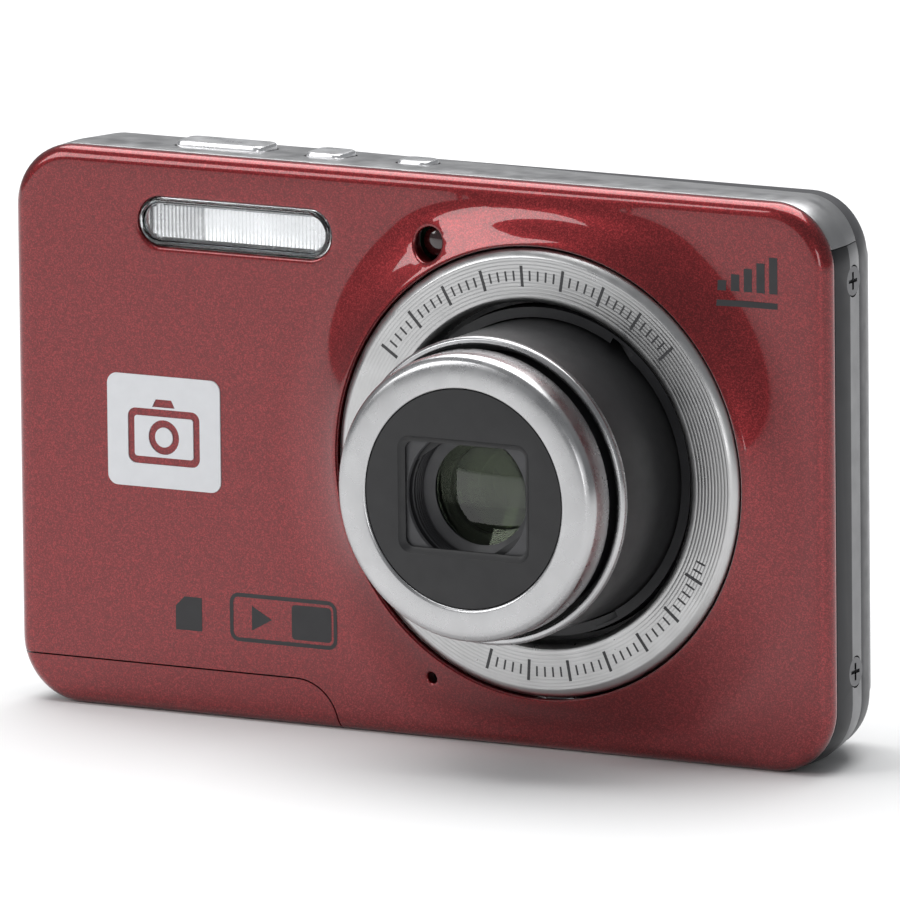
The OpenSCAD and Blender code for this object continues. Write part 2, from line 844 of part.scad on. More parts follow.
module flash_tube() placed() color("lightcyan") {
    rod_x(0.8, 2.9, flash_z, flash_x - 11.4, flash_x + 11.4);
}

module flash_capacitor() placed() color("black") {
    rod_x(3.0, 3.3, 43.3, -42, -18);
    rod_x(2.6, 3.3, 43.3, -18, -17.4);
}

module af_lamp_lens() placed() color("darkred") {
    rod_y(1.5, lamp_x, lamp_z, -0.9, 1.2);
    rod_y(2.2, lamp_x, lamp_z, inner_front + 0.05, 0);
}

module mic_capsule() placed() color("black") {
    rod_y(2, mic_x, mic_z, inner_front + 0.05, 1);
}

module speaker() placed() color("black") {
    difference() {
        rod_y(4.5, 33.8, 14, 7.8, 10.6);
        rod_y(3.6, 33.8, 14, 10.2, 11);
    }
}

// ---- electronics and power ----

module main_board() placed() color("darkgreen") {
    box([-42.4, 10.2, 4.8], [-5.4, 11.0, 40.4]);
    box([-38.8, 10.2, 40.4], [-5.4, 11.0, 50.6]);
    box([-34, 9.0, 42], [-24, 10.2, 50]);
    box([-20, 9.4, 42.5], [-13, 10.2, 49.5]);
}

module top_board() placed() color("darkgreen") {
    box([-33, key_y - 2.1, 52.2], [0, key_y + 2.3, 52.7]);
    for (k = [shutter_key, power_key, mode_key]) {
        switch_top = flange_z - shutter_travel - switch_gap;
        box([k[0] - 1.5, key_y - 1.4, 52.7], [k[0] + 1.5, key_y + 1.4, switch_top]);
    }
}

module usb_receptacle() placed() color("silver") {
    difference() {
        box([-44.1, 7.5, 41.8], [-38.9, 10.0, 49.4]);
        box([-46, 7.8, 42.1], [-39.7, 9.7, 49.1]);
    }
    box([-43.6, 8.5, 43], [-39.2, 8.9, 48.2]);
}

module port_cover() placed() color("black") {
    difference() {
        union() {
            box([-45.1, 7.15, 41.55], [-44.6, 10.05, 49.65]);
            rod_z(0.3, -44.75, 7.4, 41.6, 49.6);
        }
        box([-45.2, 8.2, 49.1], [-44.9, 9.6, 49.7]);
    }
}

// A rod along Z.
module rod_z(r, x, y, z0, z1) {
    translate([x, y, z0]) cylinder(r = r, h = z1 - z0, $fn = 32);
}

module strap_bar() placed() color("silver") {
    difference() {
        box([-45.0, 7.0, 28], [-43.0, 12.0, 36]);
        box([-46, 7.6, 28.7], [-43.4, 11.4, 35.3]);
    }
    rod_z(0.6, -44.4, 9.5, 28.5, 35.5);
}

module battery() placed() color("black") {
    hull() {
        for (x = [-41.2, -13.6], y = [1.4, 5.4]) {
            translate([x, y, 3.9]) cylinder(r = 1.1, h = 35, $fn = 32);
        }
    }
}

module memory_card() placed() color("navy") {
    along_y(7.2, 9.3) polygon([
        [-40, 4.2], [-16, 4.2], [-16, 36.2], [-37, 36.2], [-40, 33.2]
    ]);
}

module battery_case() placed() color("black") {
    difference() {
        box([-42.8, -0.35, 3.5], [-12.0, 10.0, 39.9]);
        box([-42.45, 0.1, 2], [-12.35, 6.6, 39.4]);
        box([-40.2, 7.0, 2], [-15.8, 9.5, 36.5]);
    }
}

// ---- battery door ----

module battery_door() placed() color("firebrick") {
    difference() {
        union() {
            intersection() {
                union() {
                    front_solid();
                    along_y(-0.2, frame_depth) outline(0.03);
                    along_y(frame_depth - 0.2, hinge_y) outline(rear_inset);
                }
                door_zone(0);
            }
            intersection() {
                rod_x(hinge_r, hinge_y, hinge_z, -44.9, door_end);
                along_y(0, 20) outline(rear_inset);
            }
        }
        along_y(inner_front, hinge_y - hinge_r) outline(1.4);
        intersection() {
            along_y(inner_front, hinge_y + 1) outline(1.4);
            box([-60, 0, hinge_z + hinge_r + 0.1], [0, hinge_y + 2, 8]);
        }
        box([-43.9, hinge_y - hinge_r - 0.1, hinge_z], [0, hinge_y - hinge_r + 0.3, 6]);
        for (x = ear_places()) {
            box([x - 1.1, hinge_y - hinge_r - 0.2, 0], [x + 1.1, hinge_y + 2, 4]);
        }
        rod_x(0.5, hinge_y, hinge_z, -42.6, -12.6);
    }
}

function ear_places() = [-41, -28, -14];

module door_carrier() placed() color("silver") {
    rod_x(0.45, hinge_y, hinge_z, -42.2, -13.1);
    for (x = ear_places()) {
        box([x - 0.9, hinge_y - 0.5, hinge_z], [x + 0.9, hinge_y + 0.05, 2.9]);
    }
    box([-41.9, hinge_y - 0.9, 2.85], [-13.1, hinge_y + 0.05, 3.3]);
}

// ---- buttons ----

// A top button at [x, width, depth]: its cap stands proud and a wider flange keeps it in.
module top_key(key, proud) {
    size = [key[1], key[2]];
    along_z(flange_z, body_h + proud - 0.25) translate([key[0], key_y]) {
        round_rect(size.x, size.y, 1.0);
    }
    along_z(body_h, body_h + proud) translate([key[0], key_y]) {
        round_rect(size.x - 0.5, size.y - 0.5, 0.8);
    }
    half = size.x / 2 + 0.6;
    box([key[0] - half, key_y - 1.5, flange_z], [key[0] + half, key_y + 1.5, 55]);
}

module shutter_button() placed() color("silver") {
    top_key(shutter_key, 0.5);
}

module power_button() placed() color("silver") {
    top_key(power_key, 0.4);
}

module mode_button() placed() color("silver") {
    top_key(mode_key, 0.3);
}

// A round rear key with a retaining flange inside the shell.
module rear_key(place, r, proud) {
    rod_y(r, place.x, place.y, 12.15, shell_back + proud);
    rod_y(r + 0.5, place.x, place.y, 12.15, inner_back - 0.05);
}

module zoom_rocker() placed() color("silver") {
    along_y(12.3, shell_back + 0.7) translate([key_x, 47]) round_rect(15, 5, 2.4);
    rod_z(0.5, key_x, 12.2, 45, 49);
}

module nav_ring() placed() color("gray") {
    difference() {
        union() {
            rod_y(nav_r, key_x, key_z, 12.15, shell_back + 0.5);
            rod_y(nav_r + 0.6, key_x, key_z, 12.15, inner_back - 0.05);
        }
        rod_y(ok_r + key_gap, key_x, key_z, 12, 20);
    }
}

module ok_button() placed() color("silver") {
    rod_y(ok_r, key_x, key_z, 12.15, shell_back + 0.6);
}

module menu_button() placed() color("gray") {
    rear_key(small_keys[0], 2.4, 0.4);
}

module play_button() placed() color("gray") {
    rear_key(small_keys[1], 2.4, 0.4);
}

front_shell();
top_cover();
mid_frame();
back_shell();
screen_frame();
screen_window();
lcd_module();
chassis_plate();
tripod_bush();
side_screws();
bottom_screws();
badge();
lens_bezel();
lens_base();
cam_ring();
barrel_1();
barrel_1_trim();
barrel_2();
cap_ring();
faceplate();
blade_cover();
blade_upper();
blade_lower();
front_element();
element_retainer();
second_element();
shutter_unit();
focus_carriage();
focus_element();
guide_rods();
image_sensor();
sensor_filter();
zoom_motor();
motor_pinion();
idler_gear();
flash_window();
flash_reflector();
flash_tube();
flash_capacitor();
af_lamp_lens();
mic_capsule();
speaker();
main_board();
top_board();
usb_receptacle();
port_cover();
strap_bar();
battery();
memory_card();
battery_case();
battery_door();
door_carrier();
shutter_button();
power_button();
mode_button();
zoom_rocker();
nav_ring();
ok_button();
menu_button();
play_button();
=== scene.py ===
import json
import math

import bmesh
import bpy
from mathutils import Matrix, Vector
from mathutils.geometry import delaunay_2d_cdt


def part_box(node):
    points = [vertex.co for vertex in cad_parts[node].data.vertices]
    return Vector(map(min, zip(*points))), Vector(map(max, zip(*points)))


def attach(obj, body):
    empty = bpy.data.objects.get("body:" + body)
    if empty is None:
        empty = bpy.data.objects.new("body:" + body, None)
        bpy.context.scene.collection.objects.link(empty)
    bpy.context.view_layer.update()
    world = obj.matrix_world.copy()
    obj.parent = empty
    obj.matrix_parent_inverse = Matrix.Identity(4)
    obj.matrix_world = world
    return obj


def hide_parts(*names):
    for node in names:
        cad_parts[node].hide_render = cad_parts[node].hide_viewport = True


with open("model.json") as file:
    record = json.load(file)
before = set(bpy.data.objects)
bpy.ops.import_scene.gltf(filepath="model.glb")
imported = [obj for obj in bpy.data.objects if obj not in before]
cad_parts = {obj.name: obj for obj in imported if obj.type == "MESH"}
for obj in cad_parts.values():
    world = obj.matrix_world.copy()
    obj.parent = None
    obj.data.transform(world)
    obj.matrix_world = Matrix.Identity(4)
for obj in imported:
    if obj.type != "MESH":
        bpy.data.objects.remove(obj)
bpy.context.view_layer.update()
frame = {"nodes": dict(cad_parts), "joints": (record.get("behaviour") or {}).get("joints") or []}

MM = 0.001


def mm_box(node):
    """Lowest and highest corner of a CAD node, in millimetres."""
    low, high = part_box(node)
    return low / MM, high / MM


def joint_point(name):
    """A point on a hinge's axis, in millimetres."""
    found = next(j for j in frame["joints"] if j["name"] == name)
    return Vector(found["pos_m"]) / MM


# ---- driving dimensions, in millimetres ----
# x runs to the right as seen from the front and z runs up; depth is measured back from the seam
# behind the front shell, and reach is measured forward from it.

SEAM = mm_box("front_shell")[1].y
WIDTH = mm_box("mid_frame")[1].x - mm_box("mid_frame")[0].x
HEIGHT = mm_box("front_shell")[1].z
LENS_X, _, LENS_Z = joint_point("cam_ring_turn")
FACE = SEAM - mm_box("battery_door")[0].y
SWELL = SEAM - mm_box("front_shell")[0].y
BAND_BACK = mm_box("mid_frame")[1].y - SEAM
REAR = mm_box("back_shell")[1].y - SEAM
CORNER = 6.5
WALL = 1.2
HOLE = 22.55
BEZEL_FACE = 4.01
SPLIT = mm_box("mid_frame")[1].z
REAR_INSET = 0.6
BAND_INSET = 0.4
GAP = 0.15
BAND_GAP = 0.1
REAR_FRONT = BAND_BACK + BAND_GAP
EDGE_ROUND = 3.9
LEFT_ROUND = 2.6
DOOR_TOP = 4.75
DOOR_END = -9.2
HINGE_Y = joint_point("door_swing").y - SEAM
HINGE_Z = joint_point("door_swing").z
KNUCKLE_R = 1
KNUCKLES = ((-39.8, -29.2), (-26.8, -15.2), (-12.8, DOOR_END))


# ---- shapes ----


def at(x, depth, z):
    return Vector((x, SEAM + depth, z)) * MM


def arc(cx, cz, r, start, end, steps):
    """Points of an arc between two angles in degrees, both ends included."""
    angles = [math.radians(start + (end - start) * i / steps) for i in range(steps + 1)]
    return [(cx + r * math.cos(a), cz + r * math.sin(a)) for a in angles]


def rounded(w, h, r, cx=0.0, cz=0.0, steps=12):
    """A rounded rectangle, anticlockwise from the middle of its right-hand side."""
    points = []
    for sx, sz, start in ((1, 1, 0), (-1, 1, 90), (-1, -1, 180), (1, -1, 270)):
        points += arc(cx + sx * (w / 2 - r), cz + sz * (h / 2 - r), r, start, start + 90, steps)
    return points


def outline(inset, steps=16):
    """The body's outline, made smaller all round."""
    return rounded(WIDTH - 2 * inset, HEIGHT - 2 * inset, CORNER - inset, 0, HEIGHT / 2, steps)


def circle(cx, cz, r, steps=64):
    return arc(cx, cz, r, 0, 360 - 360 / steps, steps - 1)


def fixed(points):
    """A shape that takes no notice of the inset."""
    return lambda inset: points


def shrinking(w, h, r, cx, cz, steps=12, easing=1.0):
    """A rounded rectangle by its inset; its corner radius shrinks easing times as fast."""
    return lambda inset: rounded(w - 2 * inset, h - 2 * inset, r - inset * easing, cx, cz, steps)


def shrinking_circle(cx, cz, r, steps=64):
    return lambda inset: circle(cx, cz, r - inset, steps)


def divided(points, step):
    """The same closed outline with its long straight stretches divided."""
    out = []
    for i, p in enumerate(points):
        q = points[(i + 1) % len(points)]
        count = max(1, round(math.dist(p, q) / step))
        out += [(p[0] + (q[0] - p[0]) * k / count, p[1] + (q[1] - p[1]) * k / count) for k in range(count)]
    return out


def mesh_object(name, points, faces):
    mesh = bpy.data.meshes.new(name)
    mesh.from_pydata(points, [], faces)
    mesh.update()
    obj = bpy.data.objects.new(name, mesh)
    bpy.context.scene.collection.objects.link(obj)
    return obj


def tidy(obj):
    """Merges points that lie on each other and turns every face outwards."""
    bm = bmesh.new()
    bm.from_mesh(obj.data)
    bmesh.ops.remove_doubles(bm, verts=bm.verts, dist=1e-7)
    bmesh.ops.dissolve_degenerate(bm, edges=bm.edges, dist=1e-7)
    bmesh.ops.recalc_face_normals(bm, faces=bm.faces)
    bm.to_mesh(obj.data)
    bm.free()
    return obj


def loft(name, rings, caps=True, closed=False):
    """Joins closed rings of points one after another. Caps close its ends, or closed joins last to first."""
    count = len(rings[0])
    points = [p for ring in rings for p in ring]
    faces = []
    pairs = [(k, k + 1) for k in range(len(rings) - 1)] + ([(len(rings) - 1, 0)] if closed else [])
    for a, b in pairs:
        for i in range(count):
            j = (i + 1) % count
            faces.append((a * count + i, a * count + j, b * count + j, b * count + i))
    if caps and not closed:
        faces.append(tuple(range(count)))
        faces.append(tuple(range((len(rings) - 1) * count, len(rings) * count)))
    return tidy(mesh_object(name, points, faces))


def along_y(name, levels, shape, closed=False):
    """A loft whose rings are shape(inset) at each (depth, inset)."""
    rings = [[at(x, depth, z) for x, z in shape(inset)] for depth, inset in levels]
    return loft(name, rings, closed=closed)


def along_z(name, levels, shape):
    """A loft along Z: shape(inset) gives points in x and depth, at each (height, inset)."""
    rings = [[at(x, depth, height) for x, depth in shape(inset)] for height, inset in levels]
    return loft(name, rings)


def along_x(name, levels, shape):
    """A loft along X: shape(inset) gives points in depth and z, at each (x, inset)."""
    rings = [[at(x, depth, z) for depth, z in shape(inset)] for x, inset in levels]
    return loft(name, rings)


def turned(name, profile, steps=192, x=None, z=None):
    """Turns a closed profile of (radius, reach) about an axis along Y, by default the lens axis."""
    cx = LENS_X if x is None else x
    cz = LENS_Z if z is None else z
    rings = []
    for i in range(steps):
        a = 2 * math.pi * i / steps
        rings.append([at(cx + r * math.cos(a), -f, cz + r * math.sin(a)) for r, f in profile])
    return loft(name, rings, closed=True)


def softened(profile, r=0.06, steps=3, sharpest=160):
    """Rounds the corners of a closed profile, so that its edges catch the light."""
    out = []
    for i, point in enumerate(profile):
        p, a, b = Vector(point), Vector(profile[i - 1]), Vector(profile[(i + 1) % len(profile)])
        u, v = a - p, b - p
        if min(u.length, v.length) < 1e-6 or point[0] < 1e-6 or math.degrees(u.angle(v)) > sharpest:
            out.append(point)
            continue
        cut = min(r, u.length * 0.45, v.length * 0.45)
        start, end = p + u.normalized() * cut, p + v.normalized() * cut
        for k in range(steps + 1):
            t = k / steps
            out.append(tuple((1 - t) ** 2 * start + 2 * t * (1 - t) * p + t * t * end))
    return out


def cut(obj, cutters, operation="DIFFERENCE"):
    """Applies booleans and removes the cutters."""
    for cutter in cutters:
        modifier = obj.modifiers.new("cut", "BOOLEAN")
        modifier.operation = operation
        modifier.solver = "EXACT"
        modifier.object = cutter
    bpy.context.view_layer.update()
    evaluated = obj.evaluated_get(bpy.context.evaluated_depsgraph_get())
    mesh = bpy.data.meshes.new_from_object(evaluated)
    obj.modifiers.clear()
    obj.data = mesh
    for cutter in cutters:
        bpy.data.objects.remove(cutter)
    return obj


def joined(obj, others):
    """Puts the meshes of the others into obj."""
    bm = bmesh.new()
    for part in [obj] + others:
        bm.from_mesh(part.data)
    bm.to_mesh(obj.data)
    bm.free()
    for part in others:
        bpy.data.objects.remove(part)
    return obj


def copied(obj, name):
    twin = bpy.data.objects.new(name, obj.data.copy())
    bpy.context.scene.collection.objects.link(twin)
    return twin


def block(name, low, high):
    """A cutter box between two corners given as (x, depth, z)."""
    corners = [(low[0], low[2]), (high[0], low[2]), (high[0], high[2]), (low[0], high[2])]
    return along_y(name, [(low[1], 0), (high[1], 0)], fixed(corners))



def flared(levels, flare=0.12):
    """Levels of a cutter whose mouth widens over its last stretch, from inside out."""
    inner, mouth, beyond = levels
    return [(inner, 0), (mouth - math.copysign(flare, beyond - mouth), 0), (mouth, -flare),
            (beyond, -flare)]


def finished(obj, material, body, nodes=(), angle=32):
    """Shades, paints and mounts a piece, and hides the CAD nodes it stands for."""
    obj.data.shade_smooth()
    obj.data.set_sharp_from_angle(angle=math.radians(angle))
    obj.data.materials.clear()
    obj.data.materials.append(material)
    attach(obj, body)
    if nodes:
        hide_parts(*nodes)
    return obj


# ---- materials ----


class Finish:
    """A Principled material with short calls that add procedural detail to it."""

    def __init__(self, name, color, rough, **sockets):
        self.material = bpy.data.materials.new(name)
        self.material.use_nodes = True
        self.tree = self.material.node_tree
        self.shader = self.tree.nodes["Principled BSDF"]
        self.place = self.tree.nodes.new("ShaderNodeTexCoord").outputs["Object"]
        self.shader.inputs["Base Color"].default_value = (*color, 1)
        self.shader.inputs["Roughness"].default_value = rough
        for key, value in sockets.items():
            self.shader.inputs[key.replace("_", " ")].default_value = value
        self.height = None

    def add(self, kind, **values):
        node = self.tree.nodes.new(kind)
        for key, value in values.items():
            if key in node.inputs:
                node.inputs[key].default_value = value
            else:
                setattr(node, key, value)
        return node

    def link(self, output, target):
        self.tree.links.new(output, target)

    def mapped(self, location=(0, 0, 0)):
        node = self.add("ShaderNodeMapping")
        node.inputs["Location"].default_value = location
        self.link(self.place, node.inputs["Vector"])
        return node.outputs["Vector"]

    def noise(self, scale, detail):
        node = self.add("ShaderNodeTexNoise", Scale=scale, Detail=detail)
        self.link(self.mapped(), node.inputs["Vector"])
        return node.outputs["Fac"]

    def grains(self, scale):
        """A random grey for each small cell."""
        node = self.add("ShaderNodeTexVoronoi", Scale=scale)
        self.link(self.mapped(), node.inputs["Vector"])
        split = self.add("ShaderNodeSeparateColor")
        self.link(node.outputs["Color"], split.inputs["Color"])
        return split.outputs["Red"]

    def rings(self, pitch):
        """Circles about the lens axis, their pitch in millimetres."""
        node = self.add("ShaderNodeTexWave", wave_type="RINGS", rings_direction="Y")
        node.inputs["Scale"].default_value = math.pi / 10 / (pitch * MM)
        centre = (-LENS_X * MM, 0, -LENS_Z * MM)
        self.link(self.mapped(centre), node.inputs["Vector"])
        return node.outputs["Fac"]

    def ranged(self, value, low, high):
        node = self.add("ShaderNodeMapRange")
        for key, number in (("From Min", 0.3), ("From Max", 0.7), ("To Min", low), ("To Max", high)):
            node.inputs[key].default_value = number
        self.link(value, node.inputs["Value"])
        return node.outputs["Result"]

    def tint(self, value, stops):
        """Base colour from a ramp over value; stops are (place, color)."""
        ramp = self.add("ShaderNodeValToRGB")
        elements = ramp.color_ramp.elements
        while len(elements) < len(stops):
            elements.new(0.5)
        for element, (place, color) in zip(elements, stops):
            element.position = place
            element.color = (*color, 1)
        self.link(value, ramp.inputs["Fac"])
        self.link(ramp.outputs["Color"], self.shader.inputs["Base Color"])
        return self

    def mottle(self, color, spread, scale):
        """A soft variation of the base colour by the given share."""
        low = tuple(c * (1 - spread) for c in color)
        high = tuple(min(1, c * (1 + spread)) for c in color)
        return self.tint(self.noise(scale, 3.0), [(0.3, low), (0.7, high)])

    def worn(self, low, high, scale):
        """Roughness that varies between two values."""
        self.link(self.ranged(self.noise(scale, 4.0), low, high), self.shader.inputs["Roughness"])
        return self

    def bumped(self, value, strength, distance):
        node = self.add("ShaderNodeBump", Strength=strength, Distance=distance * MM)
        self.link(value, node.inputs["Height"])
        if self.height is not None:
            self.link(self.height, node.inputs["Normal"])
        self.height = node.outputs["Normal"]
        self.link(self.height, self.shader.inputs["Normal"])
        return self


def paint_red():
    """Metallic lacquer: fine flakes of three reds under a clear coat."""
    f = Finish("red_paint", (0.3, 0.01, 0.015), 0.36, Metallic=0.82, Coat_Weight=1.0,
               Coat_Roughness=0.035, Coat_IOR=1.5)
    flakes = [(0.0, (0.115, 0.003, 0.005)), (0.55, (0.175, 0.006, 0.009)), (1.0, (0.3, 0.02, 0.024))]
    f.tint(f.grains(9500), flakes)
    f.worn(0.33, 0.4, 700)
    f.bumped(f.grains(7000), 0.16, 0.004)
    return f.material


def metal(name, color, rough, grain=260):
    f = Finish(name, color, rough, Metallic=1.0)
    f.mottle(color, 0.06, grain)
    f.worn(rough * 0.85, rough * 1.15, grain * 2)
    f.bumped(f.noise(grain * 14, 3.0), 0.12, 0.006)
    return f.material


def turned_metal(name, color, rough, pitch, depth):
    """Metal faced on a lathe: fine rings about the lens axis."""
    f = Finish(name, color, rough, Metallic=1.0, Anisotropic=0.35)
    f.mottle(color, 0.05, 180)
    f.worn(rough * 0.85, rough * 1.2, 500)
    f.bumped(f.rings(pitch), depth, 0.01)
    return f.material


def plastic(name, color, rough, spread=0.1, depth=0.25, **sockets):
    grain = 2600
    f = Finish(name, color, rough, **sockets)
    f.mottle(color, spread, grain * 0.3)
    f.worn(rough * 0.88, rough * 1.12, grain * 0.25)
    f.bumped(f.noise(grain, 3.0), depth, 0.01)
    return f.material


def glass(name, color, rough, ior=1.5, **sockets):
    f = Finish(name, color, rough, IOR=ior, Transmission_Weight=1.0, **sockets)
    f.mottle(color, 0.03, 150)
    f.worn(rough * 0.8, rough * 1.2, 300)
    return f.material


def board():
    """Green circuit board with lighter tracks."""
    f = Finish("board_green", (0.02, 0.16, 0.07), 0.45, Coat_Weight=0.4, Coat_Roughness=0.2)
    node = f.add("ShaderNodeTexBrick", Scale=260.0)
    node.inputs["Color1"].default_value = (0.015, 0.13, 0.055, 1)
    node.inputs["Color2"].default_value = (0.02, 0.17, 0.07, 1)
    node.inputs["Mortar"].default_value = (0.1, 0.36, 0.16, 1)
    f.link(f.mapped(), node.inputs["Vector"])
    f.link(node.outputs["Color"], f.shader.inputs["Base Color"])
    f.worn(0.38, 0.55, 900)
    f.bumped(f.noise(2500, 3.0), 0.2, 0.01)
    return f.material


METALS = {
    # frame_metal and top_metal are shaded and lit copies of one band metal: frame_metal is painted dark to
    # stand for the shade and dark reflection on the sides, top_metal is the lighter copy for the top.
    "frame_metal": dict(color=(0.05, 0.05, 0.052), rough=0.36),
    "top_metal": dict(color=(0.42, 0.42, 0.425), rough=0.36),
    # The chamfer's colour is a brighter copy of the band metal, a painted highlight along the band's rear
    # edge.
    "band_chamfer": dict(color=(0.19, 0.19, 0.195), rough=0.36),
    "screen_trim": dict(color=(0.3, 0.3, 0.31), rough=0.32),
    "steel": dict(color=(0.56, 0.57, 0.58), rough=0.3),
    # screw_steel is steel darkened as painted shade for the screw heads sitting in their recesses.
    "screw_steel": dict(color=(0.16, 0.16, 0.165), rough=0.34, grain=500),
    "brass": dict(color=(0.72, 0.5, 0.18), rough=0.28),
    "motor_steel": dict(color=(0.5, 0.5, 0.5), rough=0.34),
    "reflector": dict(color=(0.9, 0.9, 0.9), rough=0.25),
    "key_silver": dict(color=(0.9, 0.9, 0.91), rough=0.3),
    "key_grey": dict(color=(0.3, 0.3, 0.31), rough=0.34),
}
TURNED_METALS = {
    "bezel_metal": dict(color=(0.5, 0.5, 0.5), rough=0.32, pitch=0.36, depth=0.1),
    "ring_metal": dict(color=(0.47, 0.47, 0.475), rough=0.27, pitch=0.12, depth=0.05),
}
PLASTICS = {
    "rear_plastic": dict(color=(0.05, 0.05, 0.054), rough=0.42),
    "screen_gloss": dict(color=(0.008, 0.008, 0.01), rough=0.08, depth=0.02, Coat_Weight=1.0,
                         Coat_Roughness=0.02),
    "panel_dark": dict(color=(0.015, 0.017, 0.022), rough=0.25),
    "badge_white": dict(color=(0.68, 0.69, 0.71), rough=0.35, spread=0.02, depth=0.08),
    "barrel_grey": dict(color=(0.022, 0.022, 0.023), rough=0.4, depth=0.12),
    "lens_black": dict(color=(0.012, 0.012, 0.013), rough=0.5),
    "plate_grey": dict(color=(0.045, 0.045, 0.048), rough=0.5),
    "white_plastic": dict(color=(0.7, 0.69, 0.64), rough=0.4, spread=0.03),
    "cap_sleeve": dict(color=(0.02, 0.022, 0.03), rough=0.35),
    "lamp_lens": dict(color=(0.025, 0.004, 0.004), rough=0.12, Coat_Weight=1.0, Coat_Roughness=0.03),
    "black_part": dict(color=(0.018, 0.018, 0.02), rough=0.45),
    "rubber": dict(color=(0.02, 0.02, 0.021), rough=0.7, depth=0.4),
    "battery_wrap": dict(color=(0.03, 0.035, 0.05), rough=0.4),
    "card_blue": dict(color=(0.02, 0.05, 0.2), rough=0.4),
}
GLASSES = {
    "optical_glass": dict(color=(0.5, 0.56, 0.44), rough=0.005, Specular_IOR_Level=0.4),
    "flash_clear": dict(color=(0.95, 0.96, 0.97), rough=0.04, ior=1.49),
    "tube_glass": dict(color=(0.9, 0.95, 1.0), rough=0.02),
}
PAINTS = {"red_paint": paint_red(), "board_green": board()}
for make, table in ((metal, METALS), (turned_metal, TURNED_METALS), (plastic, PLASTICS), (glass, GLASSES)):
    for finish_name, values in table.items():
        PAINTS[finish_name] = make(finish_name, **values)



def paint_cad_nodes():
    """Gives every carried-over CAD node the procedural finish of its slot."""
    for node in frame["nodes"].values():
        for place in node.material_slots:
            place.material = PAINTS[place.material.name.split(".")[0]]


# ---- front shell and battery door ----

EDGE = 1.4
FLASH = (-20.4, 49.6, 21.6, 4.65)
AF_HOLE = (2.0, 49.8, 1.65)
MIC_HOLE = (1.9, 6.4, 0.55)
SWELL_END = 30.0
RING_STEP = 0.45
RINGS_END = 31.5
GRID_START = 31.9
GRID_X = 1.25
GRID_Z = 1.1
RIM = [(0.34, 0.0), (0.2, 0.03), (0.09, 0.11), (0.02, 0.22), (0.0, 0.36)]


def smooth(t):
    t = min(1.0, max(0.0, t))
    return t * t * (3 - 2 * t)


def panel_reach(x, z):
    """How far forward the front face lies, with its swell round the lens."""
    rho = math.hypot(x - LENS_X, z - LENS_Z)
    edge = min(WIDTH / 2 - abs(x), z, HEIGHT - z)
    rise = min(1.0, max(0.0, (SWELL_END - rho) / (SWELL_END - HOLE - 0.25))) ** 2
    return FACE + (SWELL - FACE) * rise * smooth((edge - 0.9) / 4.2)


def stadium(cx, cz, w, h, grow, steps=40):
    """A slot with round ends, drawn wider all round by grow."""
    half = (w - h) / 2
    r = h / 2 + grow
    return arc(cx + half, cz, r, -90, 90, steps) + arc(cx - half, cz, r, 90, 270, steps)


def panel_holes():
    """Each hole's outline as a function of how much wider it is drawn."""
    x, z, w, h = FLASH
    return [
        lambda grow: circle(LENS_X, LENS_Z, HOLE + grow, 240),
        lambda grow: stadium(x, z, w, h, GAP + grow),
        lambda grow: circle(AF_HOLE[0], AF_HOLE[1], AF_HOLE[2] + grow, 48),
        lambda grow: circle(MIC_HOLE[0], MIC_HOLE[1], MIC_HOLE[2] + grow, 24),
    ]


def inside(p, loop):
    """Whether a point lies inside a closed outline."""
    hit = False
    for i, (x1, z1) in enumerate(loop):
        x0, z0 = loop[i - 1]
        if (z1 > p[1]) != (z0 > p[1]) and p[0] < (x0 - x1) * (p[1] - z1) / (z0 - z1) + x1:
            hit = not hit
    return hit


def field_points(keep):
    """Points that fill the face: rings round the lens, and a staggered grid further out."""
    points = []
    rho = HOLE + 0.8
    while rho < RINGS_END:
        points += [p for p in circle(LENS_X, LENS_Z, rho, 200) if keep(p)]
        rho += RING_STEP
    for row in range(int(HEIGHT / GRID_Z)):
        for col in range(int(WIDTH / GRID_X)):
            p = (-WIDTH / 2 + (col + 0.5 * (row % 2)) * GRID_X, row * GRID_Z)
            if math.dist(p, (LENS_X, LENS_Z)) > GRID_START and keep(p):
                points.append(p)
    return points


